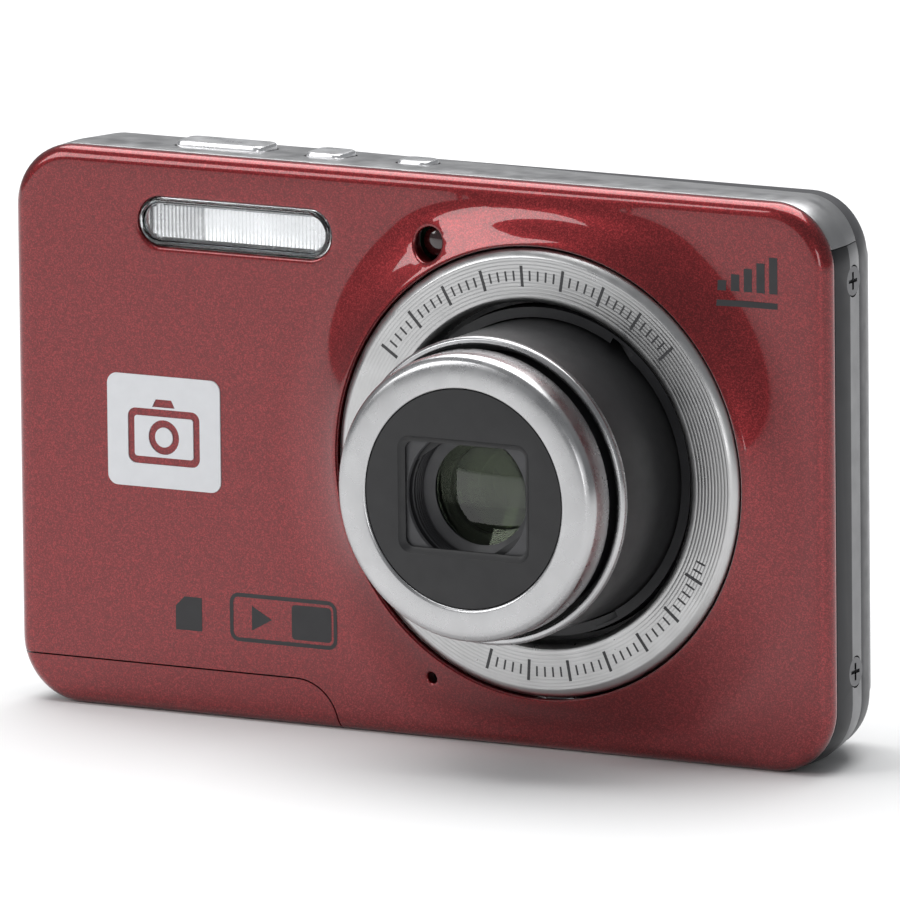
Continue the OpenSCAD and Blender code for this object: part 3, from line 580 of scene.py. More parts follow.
def front_panel(name):
    """The whole front as one closed skin, before the battery door is parted from it."""
    border = divided(outline(EDGE), 1.0)
    holes = [hole(RIM[0][0]) for hole in panel_holes()]
    guard = outline(EDGE + 0.45)
    guards = [hole(RIM[0][0] + 0.35) for hole in panel_holes()]

    def keep(p):
        return inside(p, guard) and not any(inside(p, g) for g in guards)

    flat = list(border)
    loops = [list(range(len(border)))]
    for hole in holes:
        loops.append(list(range(len(flat), len(flat) + len(hole))))
        flat += hole
    edges = [(loop[i - 1], loop[i]) for loop in loops for i in range(len(loop))]
    flat += field_points(keep)
    points, _, faces, _, _, _ = delaunay_2d_cdt([Vector(p) for p in flat], edges, [], 0, 1e-6)
    if len(points) != len(flat):
        raise ValueError("the front face's points overlap")

    def on_face(face):
        middle = sum((points[i] for i in face), Vector((0, 0))) / len(face)
        return inside(middle, border) and not any(inside(middle, h) for h in holes)

    faces = [list(f) for f in faces if on_face(f)]
    verts = [at(x, -panel_reach(x, z), z) for x, z in points]
    back = len(verts)
    wall = divided(outline(WALL), 1.0)
    for i, (x, z) in enumerate(points):
        bx, bz = wall[i] if i < len(border) else (x, z)
        verts.append(at(bx, WALL - FACE, bz))
    faces += [[back + i for i in reversed(f)] for f in faces]

    def strip(first, rings):
        """Joins a loop of the face to the given rings and back to the inner face's loop."""
        last = first
        for ring in rings:
            start = len(verts)
            verts.extend(ring)
            here = list(range(start, len(verts)))
            faces.extend(quads(last, here))
            last = here
        faces.extend(quads(last, [back + i for i in first]))

    side = []
    for angle in range(15, 91, 15):
        a = math.radians(angle)
        inset = EDGE - EDGE * math.sin(a)
        side.append((inset, FACE - EDGE + EDGE * math.cos(a)))
    side += [(0.0, 0.12), (0.03, 0.03), (0.12, 0.0), (WALL, 0.0)]
    rings = []
    for inset, reach in side:
        ring = matched(border, inset)
        rings.append([at(x, -reach, z) for x, z in ring])
    strip(loops[0], rings)
    for loop, hole in zip(loops[1:], panel_holes()):
        rings = []
        for grow, drop in RIM[1:]:
            rings.append([at(x, drop - panel_reach(x, z), z) for x, z in hole(grow)])
        strip(loop, rings)
    return tidy(mesh_object(name, verts, faces))


def matched(border, inset):
    """The border's points moved out to another inset of the body's outline."""
    out = []
    for x, z in border:
        cx = max(-WIDTH / 2 + CORNER, min(WIDTH / 2 - CORNER, x))
        cz = max(CORNER, min(HEIGHT - CORNER, z))
        dx, dz = x - cx, z - cz
        length = math.hypot(dx, dz)
        if length < 1e-9:
            out.append((x, z))
            continue
        reach = CORNER - inset
        out.append((cx + dx / length * reach, cz + dz / length * reach))
    return out


def quads(a, b):
    return [[a[i - 1], a[i], b[i], b[i - 1]] for i in range(len(a))]


def door_lip(gap):
    """The door's front lip: straight along its top, with a quarter round at its end."""
    r = DOOR_TOP + gap
    left = -WIDTH
    quarter = arc(DOOR_END - DOOR_TOP, 0, r, 90, 0, 16)
    return [(left, -2), (left, r)] + quarter + [(DOOR_END + gap, -2)]


def door_floor(gap):
    """The door's underside and its corner, seen from the front."""
    corner = CORNER - WIDTH / 2
    return [(-WIDTH, -1), (DOOR_END + gap, -1), (DOOR_END + gap, 2.2), (corner, 2.2),
            (corner, DOOR_TOP + gap), (-WIDTH, DOOR_TOP + gap)]


def door_cutters(gap):
    floor = along_y("door_floor_cutter", [(-0.01, 0), (HINGE_Y + gap, 0)], fixed(door_floor(gap)))
    far = (DOOR_END + GAP, HINGE_Y + KNUCKLE_R + GAP, HINGE_Z + KNUCKLE_R + GAP)
    hinge = block("hinge_cutter", (-WIDTH, HINGE_Y - 0.5, -1), far)
    return [floor, hinge]


def make_front():
    panel = front_panel("front_shell_skin")
    lip = copied(panel, "battery_door_lip")
    reach = [(-10, 0), (1.2, 0)]
    cut(panel, [along_y("lip_cutter", reach, fixed(door_lip(GAP)))])
    cut(lip, [along_y("lip_keeper", reach, fixed(door_lip(0)))], "INTERSECT")
    finished(panel, PAINTS["red_paint"], "camera", ["front_shell"])
    finished(lip, PAINTS["red_paint"], "battery_door", ["battery_door"])


def ring_solid(name, section):
    """A closed band round the body from (depth, inset) points."""
    return along_y(name, section, outline, closed=True)


def make_door():
    levels = [(0.06, 0.12), (0.12, 0.03), (3.2, 0.03), (BAND_BACK, BAND_INSET + 0.03),
              (BAND_BACK + 0.08, REAR_INSET), (HINGE_Y - 0.1, REAR_INSET), (HINGE_Y, REAR_INSET + 0.1),
              (HINGE_Y, 1.4), (0.06, 1.4)]
    door = ring_solid("battery_door_floor", levels)
    keeper = along_y("floor_keeper", [(-1, 0), (HINGE_Y + 1, 0)], fixed(door_floor(0)))
    cut(door, [keeper], "INTERSECT")
    knuckles = []
    for low, high in KNUCKLES:
        rod = [(low, 0.15), (low + 0.15, 0), (high - 0.15, 0), (high, 0.15)]
        knuckles.append(along_x("knuckle", rod, shrinking_circle(HINGE_Y, HINGE_Z, KNUCKLE_R, 32)))
    joined(door, knuckles)
    finished(door, PAINTS["frame_metal"], "battery_door")


# ---- badge and printed marks ----

BADGE = (-28.65, 28.4, 12.9, 11.3)
INK = 0.02


def make_badge():
    """A white plate with a plain camera pictogram cut through it."""
    x, z, w, h = BADGE
    body_z = z - 0.5
    levels = [(-FACE, 0), (-FACE - 0.09, 0), (-FACE - 0.12, 0.04)]
    plate = along_y("badge_plate", levels, shrinking(w, h, 1.1, x, z, 8))
    through = ((-FACE + 0.3, 0.0), (-FACE - 0.5, 0.0), (-FACE - 0.5, 0.75), (-FACE + 0.3, 0.75))
    body = shrinking(8.2, 5.6, 0.9, x, body_z, 8, 0.8)
    frame_cut = along_y("pictogram_frame", through, body, closed=True)
    lens_cut = along_y("pictogram_lens", through, shrinking_circle(x, body_z, 1.75, 32), closed=True)
    hump = [(x - 1.3, z + 2.5), (x + 1.3, z + 2.5), (x + 0.9, z + 3.3), (x - 0.9, z + 3.3)]
    hump_cut = along_y("pictogram_hump", [(-FACE + 0.3, 0), (-FACE - 0.5, 0)], fixed(hump))
    cut(plate, [frame_cut, lens_cut, hump_cut])
    finished(plate, PAINTS["badge_white"], "camera", ["badge"])


def printed(points):
    """A thin filled mark that follows the front face."""
    loop = divided(points, 0.6)
    rings = [[at(x, lift - panel_reach(x, z), z) for x, z in loop] for lift in (0.05, -INK)]
    return loft("mark", rings)


def printed_ring(shape, width):
    """A thin outline that follows the front face."""
    outer, inner = shape(0), shape(width)
    sections = [(outer, 0.05), (outer, -INK), (inner, -INK), (inner, 0.05)]
    rings = [[at(x, lift - panel_reach(x, z), z) for x, z in loop] for loop, lift in sections]
    return loft("mark", rings, closed=True)


def bar(x0, z0, x1, z1):
    return printed([(x0, z0), (x1, z0), (x1, z1), (x0, z1)])


def make_marks():
    """Plain printed marks: rising zoom bars, a card, and a film box with a play sign."""
    marks = [bar(33.9, 46.1, 40.4, 46.7)]
    marks += [bar(33.9 + 1.4 * k, 47.6, 34.8 + 1.4 * k, 48.6 + 0.65 * k) for k in range(5)]
    marks.append(printed([(-27.6, 8.6), (-24.6, 8.6), (-24.6, 12.0), (-26.6, 12.0), (-27.6, 11.0)]))
    film_z = 10.45
    marks.append(printed_ring(shrinking(12.2, 4.9, 1.0, -15.3, film_z, 8), 0.4))
    marks.append(printed(rounded(4.5, 3.5, 0.4, -12.1, film_z, 6)))
    marks.append(printed([(-18.9, 9.2), (-16.6, film_z), (-18.9, 11.7)]))
    piece = joined(marks[0], marks[1:])
    piece.name = "front_face_marks"
    finished(piece, PAINTS["black_part"], "camera")


def make_bezel_scale():
    """Fine marks round the bezel's face."""
    marks = []
    for start, end in ((42, 146), (254, 338)):
        count = round((end - start) / 2.6)
        for i in range(count + 1):
            a = math.radians(start + (end - start) * i / count)
            long_mark = i % 5 == 0
            inner, outer = (18.6, 20.7) if long_mark else (19.2, 20.2)
            out = Vector((math.cos(a), math.sin(a)))
            side = Vector((-out.y, out.x)) * (0.16 if long_mark else 0.1)
            corners = [out * inner - side, out * outer - side, out * outer + side, out * inner + side]
            rings = [[at(LENS_X + c.x, -f, LENS_Z + c.y) for c in corners] for f in (3.9, BEZEL_FACE)]
            marks.append(loft("tick", rings))
    ticks = joined(marks[0], marks[1:])
    ticks.name = "bezel_scale_ticks"
    finished(ticks, PAINTS["plate_grey"], "camera")


def raised_mark(name, points, depth, body):
    """A small printed sign on a rear key."""
    mark = along_y(name, [(depth - 0.05, 0), (depth + INK, 0)], fixed(points))
    finished(mark, PAINTS["badge_white"], body)


def make_key_signs():
    x, z = SMALL_KEYS["menu_button"]
    for k in (-1, 0, 1):
        low, high = z + k * 0.6 - 0.12, z + k * 0.6 + 0.12
        points = [(x - 0.8, low), (x + 0.8, low), (x + 0.8, high), (x - 0.8, high)]
        raised_mark("menu_sign_%d" % (k + 2), points, REAR + SMALL_PROUD, "menu_button")
    x, z = SMALL_KEYS["play_button"]
    triangle = [(x - 0.6, z), (x + 0.5, z - 0.7), (x + 0.5, z + 0.7)]
    raised_mark("play_sign", triangle, REAR + SMALL_PROUD, "play_button")
    x, z, _ = NAV
    for k in range(4):
        a = k * math.pi / 2
        out = Vector((math.cos(a), math.sin(a)))
        side = Vector((-out.y, out.x))
        tip, foot = out * 7.2, out * 6.5
        points = [tip, foot + side * 0.5, foot - side * 0.5]
        placed = [(x + p.x, z + p.y) for p in points]
        raised_mark("nav_sign_%d" % (k + 1), placed, REAR + NAV_PROUD, "nav_ring")


# ---- casings ----


def band_section():
    """The band's cross-section as (depth, inset): flat, then a chamfer to its rear edge."""
    outside = [(0.1, 0.1), (0.13, 0.03), (0.2, 0), (3.15, 0), (3.25, 0.01)]
    chamfer = [(BAND_BACK - 0.12, BAND_INSET - 0.02), (BAND_BACK - 0.02, BAND_INSET + 0.03)]
    return outside + chamfer + [(BAND_BACK, BAND_INSET + 0.12), (BAND_BACK, 1.5), (0.1, 1.5)]


SCREW_Z = (9.6, 48.4)
SCREW_Y = 4.2
RECESS_R = 1.6
BOTTOM_SCREW_X = (-3, 27, 35)
BOTTOM_SCREW_Y = 9.2
TRIPOD = (13.0, 5.6, 4.28)
KEYS = {"shutter_button": (-24.9, 10.0, 4.0, 0.5), "power_button": (-13.05, 4.2, 4.0, 0.4),
        "mode_button": (-3.2, 3.8, 3.0, 0.3)}
KEY_Y = 4.9
KEY_GAP = 0.2
TOP_DEPTH = 9.7
TOP_RIGHT = 7.3
CHAMFER_START = 3.3
TOP_STEPS = 24


def subdivided(points, parts=12):
    """The outline with its four straight sides divided into equal parts, so that each can bend."""
    out = []
    for i, p in enumerate(points):
        q = points[(i + 1) % len(points)]
        count = parts if math.dist(p, q) > 5 else 1
        out += [(p[0] + (q[0] - p[0]) * k / count, p[1] + (q[1] - p[1]) * k / count) for k in range(count)]
    return out


def paint_chamfer_highlight(band):
    """Paints a highlight on the band's rear chamfer: its back-facing faces get a brighter copy of the band
    metal.
    """
    band.data.materials.append(PAINTS["band_chamfer"])
    for face in band.data.polygons:
        depth = face.center.y / MM - SEAM
        if CHAMFER_START < depth < BAND_BACK - 0.05 and face.normal.y > 0.05 and face.area > 1e-9:
            face.material_index = 1


def bush_cutter():
    return along_z("bush_cutter", [(4, 0), (-1, 0)], fixed(circle(*TRIPOD)))


def make_mid_frame():
    band = ring_solid("mid_frame_band", band_section())
    cutters = [block("split_cutter", (-60, -1, SPLIT), (60, 10, 70))] + door_cutters(GAP)
    for side in (-1, 1):
        for z in SCREW_Z:
            levels = flared([side * (WIDTH / 2 + past) for past in (-0.9, 0, 1)], 0.05)
            cutters.append(along_x("recess", levels, shrinking_circle(SCREW_Y, z, RECESS_R, 40)))
    cutters.append(bush_cutter())
    cut(band, cutters)
    # The band takes the painted-shade copy of the band metal.
    finished(band, PAINTS["frame_metal"], "camera", ["mid_frame"])
    paint_chamfer_highlight(band)


def top_reach(x, z):
    """How deep the band's rear edge lies: deepest over the buttons, least at the sides."""
    corner = WIDTH / 2 - CORNER
    start = KEYS["power_button"][0]
    level = TOP_DEPTH - (TOP_DEPTH - TOP_RIGHT) * max(0.0, min(corner, x) - start) / (corner - start)
    low = math.degrees(math.asin((SPLIT - HEIGHT + CORNER) / CORNER))
    angle = math.degrees(math.atan2(z - HEIGHT + CORNER, abs(x) - corner)) if abs(x) > corner else 90
    share = max(0.0, min(1.0, (angle - low) / (90 - low)))
    if z < HEIGHT / 2:
        share = 0.0
    return BAND_BACK + (level - BAND_BACK) * share


def bent_ring(depth, inset, share):
    """A ring of the body's outline, pushed back by a share of the top cover's extra depth."""
    ring = subdivided(outline(inset, TOP_STEPS))
    return [at(x, depth + (top_reach(x, z) - BAND_BACK) * share, z) for x, z in ring]


def make_top_cover():
    """The deeper part of the band over the buttons, with a chamfered rear edge."""
    bend_start = 3.0
    rings = []
    for depth, inset in band_section():
        share = 1 if depth > 3.5 else max(0.0, depth - bend_start) / (BAND_BACK - bend_start)
        rings.append(bent_ring(depth, inset, share))
    band = loft("top_cover_band", rings, closed=True)
    cutters = [block("split_cutter", (-60, -1, -5), (60, 14, SPLIT + 0.08))]
    mouth = flared((HEIGHT - 3, HEIGHT, HEIGHT + 2), 0.08)
    for x, w, d, _ in KEYS.values():
        shape = shrinking(w + 2 * KEY_GAP, d + 2 * KEY_GAP, 1.2, x, KEY_Y)
        cutters.append(along_z("key_cutter", mouth, shape))
    cut(band, cutters)
    finished(band, PAINTS["top_metal"], "camera", ["top_cover"])



NAV = (-32.2, 25.5, 8.2)
OK_R = 3.3
SMALL_KEYS = {"menu_button": (-38.2, 38.6), "play_button": (-26.2, 38.6)}
SMALL_R = 2.4
SMALL_PROUD = 0.4
NAV_PROUD = 0.5
OK_PROUD = 0.6
ROCKER = (-32.2, 47.0, 15.0, 5.0)
ROCKER_PROUD = 0.7
KEY_FOOT = 12.3
SCREEN = (10.9, 27.35, 61.0, 46.9)


def top_recess():
    """What the top cover takes out of the rear shell."""
    recess = loft("top_recess", [bent_ring(3.0, -0.5, 0), bent_ring(REAR_FRONT, -0.5, 1)])
    return cut(recess, [block("recess_split", (-70, -5, -10), (70, 20, SPLIT))])



def turned_in(r, start, depth):
    """How far a rounding of radius r that begins at one depth has turned in at another."""
    return r - math.sqrt(max(0.0, r * r - max(0.0, depth - start) ** 2))


def rear_outline(depth, skin=0.0, extra=0.0):
    """The rear shell's outline at a depth: it rounds off far more on the right."""
    base = REAR_INSET + skin + extra
    back = REAR - skin
    ends = base + turned_in(EDGE_ROUND - skin, back - EDGE_ROUND + skin, depth)
    left = base + turned_in(LEFT_ROUND - skin, back - LEFT_ROUND + skin, depth)
    right = base + turned_in(REAR - REAR_FRONT - skin, REAR_FRONT, depth)
    middle = (left - right) / 2
    return rounded(WIDTH - left - right, HEIGHT - 2 * ends, CORNER - ends, middle, HEIGHT / 2, 16)


def rear_skin():
    """The rear shell's outside, with closer rings where it rounds off."""
    depths = [REAR_FRONT + 0.12, 7.0, 8.0, 9.0]
    depths += [10 + EDGE_ROUND * math.sin(math.radians(a)) for a in range(0, 85, 8)]
    depths += [REAR - 0.04, REAR - 0.01, REAR]
    levels = [(REAR_FRONT, 0.12), (REAR_FRONT + 0.04, 0.03)] + [(depth, 0.0) for depth in depths]
    rings = []
    for depth, extra in levels:
        ring = subdivided(rear_outline(depth, 0.0, extra))
        rings.append([at(x, depth, z) for x, z in ring])
    return loft("back_shell_skin", rings)


def rear_room():
    """A cutter for the room inside the rear shell."""
    rings = []
    for depth in (0, 6.1, 8, 9.5, 10.5, 11.5, 12.2, 12.6, REAR - WALL):
        depth = min(depth, REAR - WALL)
        rings.append([at(x, depth, z) for x, z in rear_outline(depth, WALL)])
    return loft("cavity_cutter", rings)


def key_openings():
    """Cutters for the screen and the rear keys."""
    x, z, w, h = SCREEN
    cutters = [along_y("screen_cutter", [(0, 0), (20, 0)], fixed(rounded(w + 0.2, h + 0.2, 2.1, x, z)))]
    mouth = flared((0, REAR, 20))
    x, z, r = NAV
    cutters.append(along_y("nav_cutter", mouth, shrinking_circle(x, z, r + KEY_GAP, 96)))
    for x, z in SMALL_KEYS.values():
        cutters.append(along_y("key_cutter", mouth, shrinking_circle(x, z, SMALL_R + KEY_GAP, 48)))
    x, z, w, h = ROCKER
    shape = shrinking(w + 2 * KEY_GAP, h + 2 * KEY_GAP, 2.5, x, z)
    cutters.append(along_y("rocker_cutter", mouth, shape))
    return cutters


def make_back_shell():
    shell = rear_skin()
    cutters = [rear_room(), top_recess()] + key_openings()
    cutters.append(block("port_cutter", (-60, 6.8, 41.4), (-42, 10.2, 49.8)))
    cutters.append(block("strap_cutter", (-60, 6.9, 27.9), (-42, 12.1, 36.1)))
    cutters.append(bush_cutter())
    for x in BOTTOM_SCREW_X:
        hole = fixed(circle(x, BOTTOM_SCREW_Y, 1.5, 32))
        cutters.append(along_z("screw_cutter", [(REAR_INSET + 0.7, 0), (-1, 0)], hole))
    cutters += door_cutters(GAP)
    cut(shell, cutters)
    finished(shell, PAINTS["rear_plastic"], "camera", ["back_shell"])



def make_screen():
    x, z, w, h = SCREEN
    top = mm_box("screen_frame")[1].y - SEAM
    levels = [(11.8, 0), (top - 0.8, 0), (top - 0.5, 0.06), (top - 0.2, 0.26), (top - 0.05, 0.55),
              (top, 0.9), (top, 1.75), (top - 0.06, 1.84), (top - 0.2, 1.86), (11.8, 1.86)]
    shape = shrinking(w, h, 2, x, z, 16, 0.6)
    frame_piece = along_y("screen_frame_trim", levels, shape, closed=True)
    finished(frame_piece, PAINTS["screen_trim"], "camera", ["screen_frame"])
    pane = shrinking(w - 3.7, h - 3.7, 0.9, x, z, 10, 0.5)
    window = along_y("screen_window_pane", [(14.75, 0), (15.6, 0), (15.68, 0.04), (15.7, 0.12)], pane)
    finished(window, PAINTS["screen_gloss"], "camera", ["screen_window"])


# ---- lens ----


def make_bezel():
    """The ring round the lens, its face cut with fine grooves."""
    face = 4.0
    pitch = 0.36
    profile = [(17.05, 0.8), (22.35, 0.8), (22.35, 3.32), (22.3, 3.42), (21.62, 3.95), (21.5, face)]
    r = 21.3
    while r > 17.8:
        profile += [(r, face), (r - 0.05, face - 0.015), (r - 0.1, face)]
        r -= pitch
    profile += [(17.55, face), (17.42, 3.95), (17.08, 3.62), (17.05, 3.52)]
    ring = turned("lens_bezel_ring", profile, 256)
    finished(ring, PAINTS["bezel_metal"], "camera", ["lens_bezel"], 50)


def make_barrels():
    front = 14.2
    outer = [(13.55, 0.4), (15.2, 0.4), (15.2, 13.24), (15.16, 13.3), (14.85, 13.3), (14.85, 14.0),
             (14.45, 14.0), (14.45, 11.4), (13.55, 11.4)]
    tube = turned("barrel_1_tube", softened(outer, 0.05))
    finished(tube, PAINTS["barrel_grey"], "barrel_1", ["barrel_1"])
    trim = [(14.87, 13.32), (15.3, 13.32), (15.3, 13.95), (15.05, front), (14.65, front),
            (14.5, 14.02), (14.87, 14.02)]
    rim = turned("barrel_1_rim", softened(trim, 0.1))
    finished(rim, PAINTS["ring_metal"], "barrel_1", ["barrel_1_trim"])
    cap = [(13.4, 15.2), (14.3, 15.2), (14.3, 17.7), (14.22, 18.1), (14.02, 18.45), (13.62, 18.75),
           (13.1, 18.9), (11.16, 18.9), (10.92, 18.75), (10.92, 17.95), (13.4, 17.95)]
    cap_piece = turned("cap_ring_front", softened(cap, 0.12), 256)
    finished(cap_piece, PAINTS["ring_metal"], "barrel_2", ["cap_ring"])


def make_faceplate():
    """The black disc on the front of the lens, with its bevelled window."""
    section = [(0, 17.98), (10.86, 17.98), (10.86, 18.72), (0, 18.72)]
    disc = turned("faceplate_disc", softened(section, 0.08), 192)
    levels = [(-20, 0), (-18.72, 0), (-18.3, 0.42), (-18.25, 0.6), (-17, 0.6)]
    hole = along_y("window_cutter", levels, shrinking(14.6, 11.7, 1.4, LENS_X, LENS_Z, 10, 0.8))
    cut(disc, [hole])
    finished(disc, PAINTS["lens_black"], "barrel_2", ["faceplate"])


def make_lens_inside():
    """The blade cover, the drum behind it and the rings round the glass."""
    plate = [(6.6, 17.62), (13.3, 17.62), (13.3, 17.92), (6.75, 17.92)]
    cover = turned("blade_cover_plate", softened(plate, 0.05), 160)
    finished(cover, PAINTS["plate_grey"], "barrel_2", ["blade_cover"])
    drum = [(12.6, 2.6), (13.4, 2.6), (13.4, 17.0), (6.6, 17.0), (6.5, 16.9)]
    for k in range(4):
        top = 16.6 - k * 0.4
        drum += [(6.5, top), (6.42, top - 0.1), (6.42, top - 0.2), (6.5, top - 0.3)]
    drum += [(6.5, 14.95), (5.7, 14.95), (5.7, 12.5), (4.3, 12.5), (4.3, 9.4), (5.6, 9.4), (5.6, 8.9),
             (7.3, 8.9), (7.3, 16.3), (12.6, 16.3)]
    finished(turned("barrel_2_drum", drum, 160), PAINTS["black_part"], "barrel_2", ["barrel_2"])
    ring = [(5.15, 14.97), (6.4, 14.97), (6.4, 15.35), (6.25, 15.4), (5.9, 15.33), (5.3, 15.05)]
    retainer = turned("element_retainer_ring", softened(ring, 0.05), 128)
    finished(retainer, PAINTS["plate_grey"], "barrel_2", ["element_retainer"])
    make_element("front_element_glass", "front_element", 5.5, 12.7, 14.9, 0.8, 0.3)
    make_element("second_element_glass", "second_element", 4.2, 9.6, 12.0, 0.5, 0.4)


def sag(r, bulge, x):
    ball = (r * r + bulge * bulge) / (2 * bulge)
    return ball - math.sqrt(ball * ball - x * x)


def make_element(name, node, r, back, front, bulge_front, bulge_back):
    steps = 20
    profile = [(r * i / steps, front - sag(r, bulge_front, r * i / steps)) for i in range(steps + 1)]
    profile += [(r * i / steps, back + sag(r, bulge_back, r * i / steps)) for i in range(steps, -1, -1)]
    finished(turned(name, profile, 128), PAINTS["optical_glass"], "barrel_2", [node])


# ---- flash, lamp and microphone ----


def flash_shape(inset):
    x, z, w, h = FLASH
    return stadium(x, z, w, h, -inset)


def rib_half(offset):
    """Half the height of a flash rib, which is shorter in the window's round ends."""
    _, _, w, h = FLASH
    end = abs(offset) - (w - h) / 2
    return math.sqrt(max(0.05, (h / 2 - 0.6) ** 2 - end ** 2)) if end > 0 else h / 2 - 0.75


def make_flash():
    x, z, w, _ = FLASH
    levels = [(-1.85, 0.35), (-1.83, 0.2), (-1.76, 0.08), (-1.66, 0.02), (-1.5, 0), (-0.6, 0),
              (-0.6, 0.42), (-1.6, 0.42), (-1.8, 0.4)]
    rim = along_y("flash_window_rim", levels, flash_shape, closed=True)
    finished(rim, PAINTS["flash_clear"], "camera")
    pane = along_y("flash_window_pane", [(-1.1, 0.45), (-1.5, 0.45), (-1.58, 0.5), (-1.6, 0.6)], flash_shape)
    finished(pane, PAINTS["flash_clear"], "camera", ["flash_window"])
    count = 46
    coarse = 14
    foot = -0.75
    pitch = (w - 2.0) / count
    verts = []
    faces = []
    for i in range(count):
        cx = x - w / 2 + 1.0 + (i + 0.5) * pitch
        half = rib_half(cx - x)
        peak = foot - (0.22 if i < coarse else 0.12)
        left, right = cx - pitch / 2, cx + pitch / 2
        base = [at(px, foot, pz) for px, pz in
                ((left, z - half), (right, z - half), (right, z + half), (left, z + half))]
        points, polygons = rib_faces(base, [at(cx, peak, z - half), at(cx, peak, z + half)])
        faces += [[len(verts) + k for k in polygon] for polygon in polygons]
        verts += points
    insert = mesh_object("flash_fresnel_ribs", verts, faces)
    finished(insert, PAINTS["reflector"], "camera", [], 15)



def rib_faces(base, ridge):
    """One ridge on a flat foot, as its points and its closed set of faces."""
    points = base + ridge
    return points, [(0, 4, 5, 3), (4, 1, 2, 5), (0, 1, 4), (3, 5, 2), (0, 3, 2, 1)]


def make_lamp():
    x, z, _ = AF_HOLE
    lens_r = 1.5
    shoulder = 0.72
    dome = [(0, 0.3), (lens_r, 0.3), (lens_r, shoulder)]
    for k in range(1, 8):
        a = k * math.pi / 16
        dome.append((lens_r * math.cos(a), shoulder + 0.5 * math.sin(a)))
    dome.append((0, shoulder + 0.5))
    lamp = turned("af_lamp_dome", dome, 64, x, z)
    finished(lamp, PAINTS["lamp_lens"], "camera", ["af_lamp_lens"])
    x, z, _ = MIC_HOLE
    disc = [(0, 0.1), (2, 0.1), (2, 0.5), (0, 0.5)]
    capsule = turned("mic_capsule_disc", softened(disc, 0.08), 48, x, z)
    finished(capsule, PAINTS["black_part"], "camera", ["mic_capsule"])


# ---- keys and screws ----


def make_top_keys():
    for node, (x, w, d, proud) in KEYS.items():
        top = HEIGHT + proud
        levels = [(54.4, 0), (top - 0.4, 0), (top - 0.22, 0.03), (top - 0.08, 0.12),
                  (top - 0.015, 0.26), (top, 0.45)]
        key = along_z(node + "_cap", levels, shrinking(w, d, 1.0, x, KEY_Y, 10, 0.8))
        finished(key, PAINTS["key_silver"], node, [node])


def round_key(name, node, profile, place, paint, steps):
    x, z = place
    finished(turned(name, profile, steps, x, z), PAINTS[paint], node, [node])


def make_rear_keys():
    x, z, w, h = ROCKER
    top = REAR + ROCKER_PROUD
    levels = [(KEY_FOOT, 0), (top - 0.4, 0), (top - 0.2, 0.05), (top - 0.06, 0.18), (top, 0.4)]
    rocker = along_y("zoom_rocker_cap", levels, shrinking(w, h, 2.4, x, z, 16))
    finished(rocker, PAINTS["key_silver"], "zoom_rocker", ["zoom_rocker"])
    r, top = SMALL_R, REAR + SMALL_PROUD
    disc = [(0, -KEY_FOOT), (r, -KEY_FOOT), (r, -top + 0.15), (r - 0.1, -top + 0.04), (r - 0.3, -top),
            (0, -top)]
    for node, place in SMALL_KEYS.items():
        round_key(node + "_cap", node, disc, place, "key_grey", 64)
    x, z, r = NAV
    top = REAR + NAV_PROUD
    bore = OK_R + KEY_GAP
    ring = [(bore, -KEY_FOOT), (r, -KEY_FOOT), (r, -top + 0.35), (r - 0.12, -top + 0.12), (r - 0.4, -top),
            (6.6, -top + 0.02), (5.6, -top + 0.16), (4.6, -top + 0.18), (bore + 0.1, -top + 0.1),
            (bore, -top + 0.2)]
    round_key("nav_ring_cap", "nav_ring", ring, (x, z), "key_grey", 128)
    r, top = OK_R, REAR + OK_PROUD
    disc = [(0, -KEY_FOOT), (r, -KEY_FOOT), (r, -top + 0.25), (r - 0.1, -top + 0.06), (r - 0.4, -top),
            (0, -top + 0.12)]
    round_key("ok_button_cap", "ok_button", disc, (x, z), "key_silver", 64)



# ---- stage ----

AZIMUTH = 29.08
ELEVATION = 10.55
ROLL = -0.6
DISTANCE = 1.771
FOCAL = 719.0
AIM = Vector((2.78, SEAM, 28.88)) * MM


def make_camera():
    a, e, roll = (math.radians(v) for v in (AZIMUTH, ELEVATION, ROLL))
    back = Vector((math.sin(a) * math.cos(e), -math.cos(a) * math.cos(e), math.sin(e)))
    right = Vector((math.cos(a), math.sin(a), 0))
    up = back.cross(right)
    turned_right = right * math.cos(roll) + up * math.sin(roll)
    turned_up = up * math.cos(roll) - right * math.sin(roll)
    data = bpy.data.cameras.new("camera")
    data.sensor_width = 36
    data.lens = FOCAL
    data.clip_start = 0.1
    data.clip_end = 50
    camera = bpy.data.objects.new("camera", data)
    rotation = [[turned_right[i], turned_up[i], back[i]] for i in range(3)]
    place = AIM + back * DISTANCE
    matrix = [rotation[i] + [place[i]] for i in range(3)] + [[0, 0, 0, 1]]
    bpy.context.scene.collection.objects.link(camera)
    camera.matrix_world = Matrix(matrix)
    bpy.context.scene.camera = camera


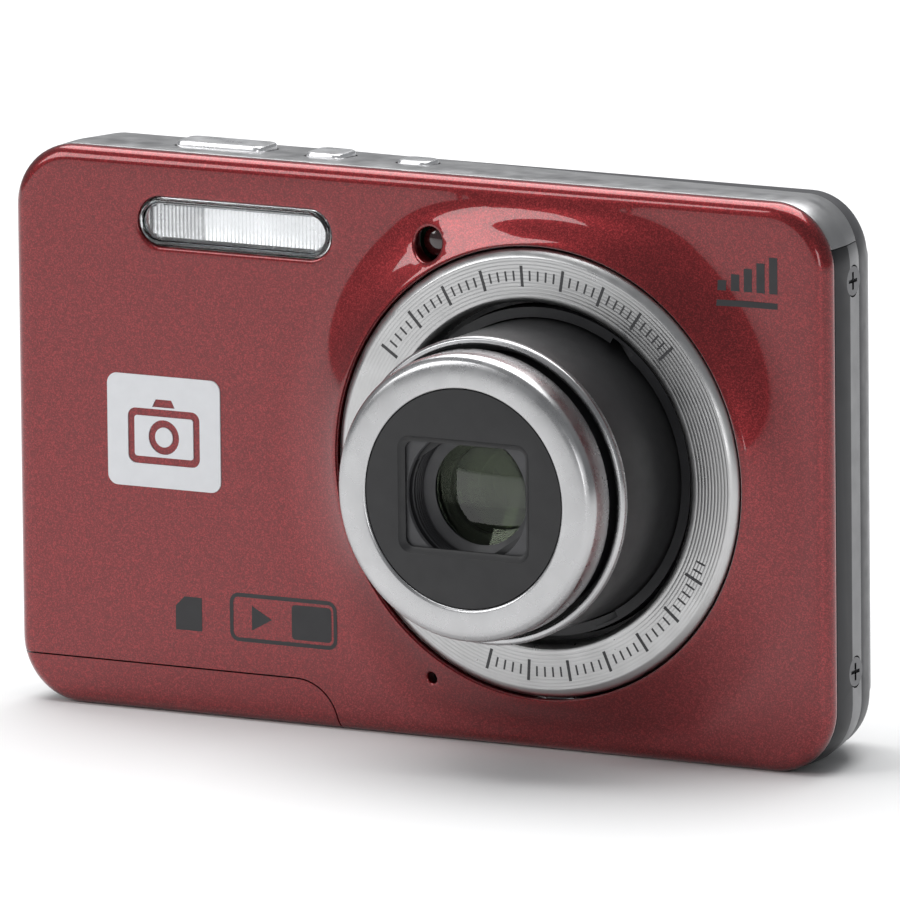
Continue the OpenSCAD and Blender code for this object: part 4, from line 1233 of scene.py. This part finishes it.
def make_floor():
    size = 6.0
    white = (0.86, 0.86, 0.86)
    corners = [(-size, -size, 0), (size, -size, 0), (size, size, 0), (-size, size, 0)]
    floor = mesh_object("floor", corners, [(0, 1, 2, 3)])
    f = Finish("floor_white", white, 0.6)
    f.mottle(white, 0.01, 3)
    floor.data.materials.append(f.material)


def softbox(name, place, aim, width, height, power, color=(1, 1, 1)):
    data = bpy.data.lights.new(name, "AREA")
    data.shape = "RECTANGLE"
    data.size = width
    data.size_y = height
    data.energy = power
    data.color = color
    light = bpy.data.objects.new(name, data)
    light.location = place
    light.rotation_mode = "QUATERNION"
    light.rotation_quaternion = (Vector(aim) - Vector(place)).to_track_quat("-Z", "Y")
    bpy.context.scene.collection.objects.link(light)


def make_world():
    """A white backdrop to the camera, and a dimmer grey room to everything else."""
    world = bpy.data.worlds.new("studio")
    bpy.context.scene.world = world
    world.use_nodes = True
    tree = world.node_tree
    room = tree.nodes["Background"]
    room.inputs["Color"].default_value = (0.9, 0.92, 0.95, 1)
    room.inputs["Strength"].default_value = 0.27
    backdrop = tree.nodes.new("ShaderNodeBackground")
    backdrop.inputs["Strength"].default_value = 1.0
    backdrop.inputs["Color"].default_value = (1, 1, 1, 1)
    choice = tree.nodes.new("ShaderNodeMixShader")
    path = tree.nodes.new("ShaderNodeLightPath")
    tree.links.new(path.outputs["Is Camera Ray"], choice.inputs["Fac"])
    tree.links.new(room.outputs["Background"], choice.inputs[1])
    tree.links.new(backdrop.outputs["Background"], choice.inputs[2])
    tree.links.new(choice.outputs["Shader"], tree.nodes["World Output"].inputs["Surface"])


def make_lights():
    aim = (0, 0, 0.03)
    softbox("top_softbox", (-0.2, 0.3, 1.3), aim, 1.4, 1.4, 27)
    softbox("left_softbox", (-1.1, -1.1, 0.8), aim, 0.8, 0.8, 9.5)
    softbox("low_right_softbox", (0.75, -1.2, 0.12), aim, 0.35, 0.5, 2.2)
    make_world()
    bpy.context.scene.view_settings.view_transform = "Standard"


paint_cad_nodes()
make_front()
make_door()
make_mid_frame()
make_top_cover()
make_back_shell()
make_screen()
make_bezel()
make_barrels()
make_faceplate()
make_lens_inside()
make_flash()
make_lamp()
make_top_keys()
make_rear_keys()
make_badge()
make_marks()
make_bezel_scale()
make_key_signs()
make_camera()
make_floor()
make_lights()
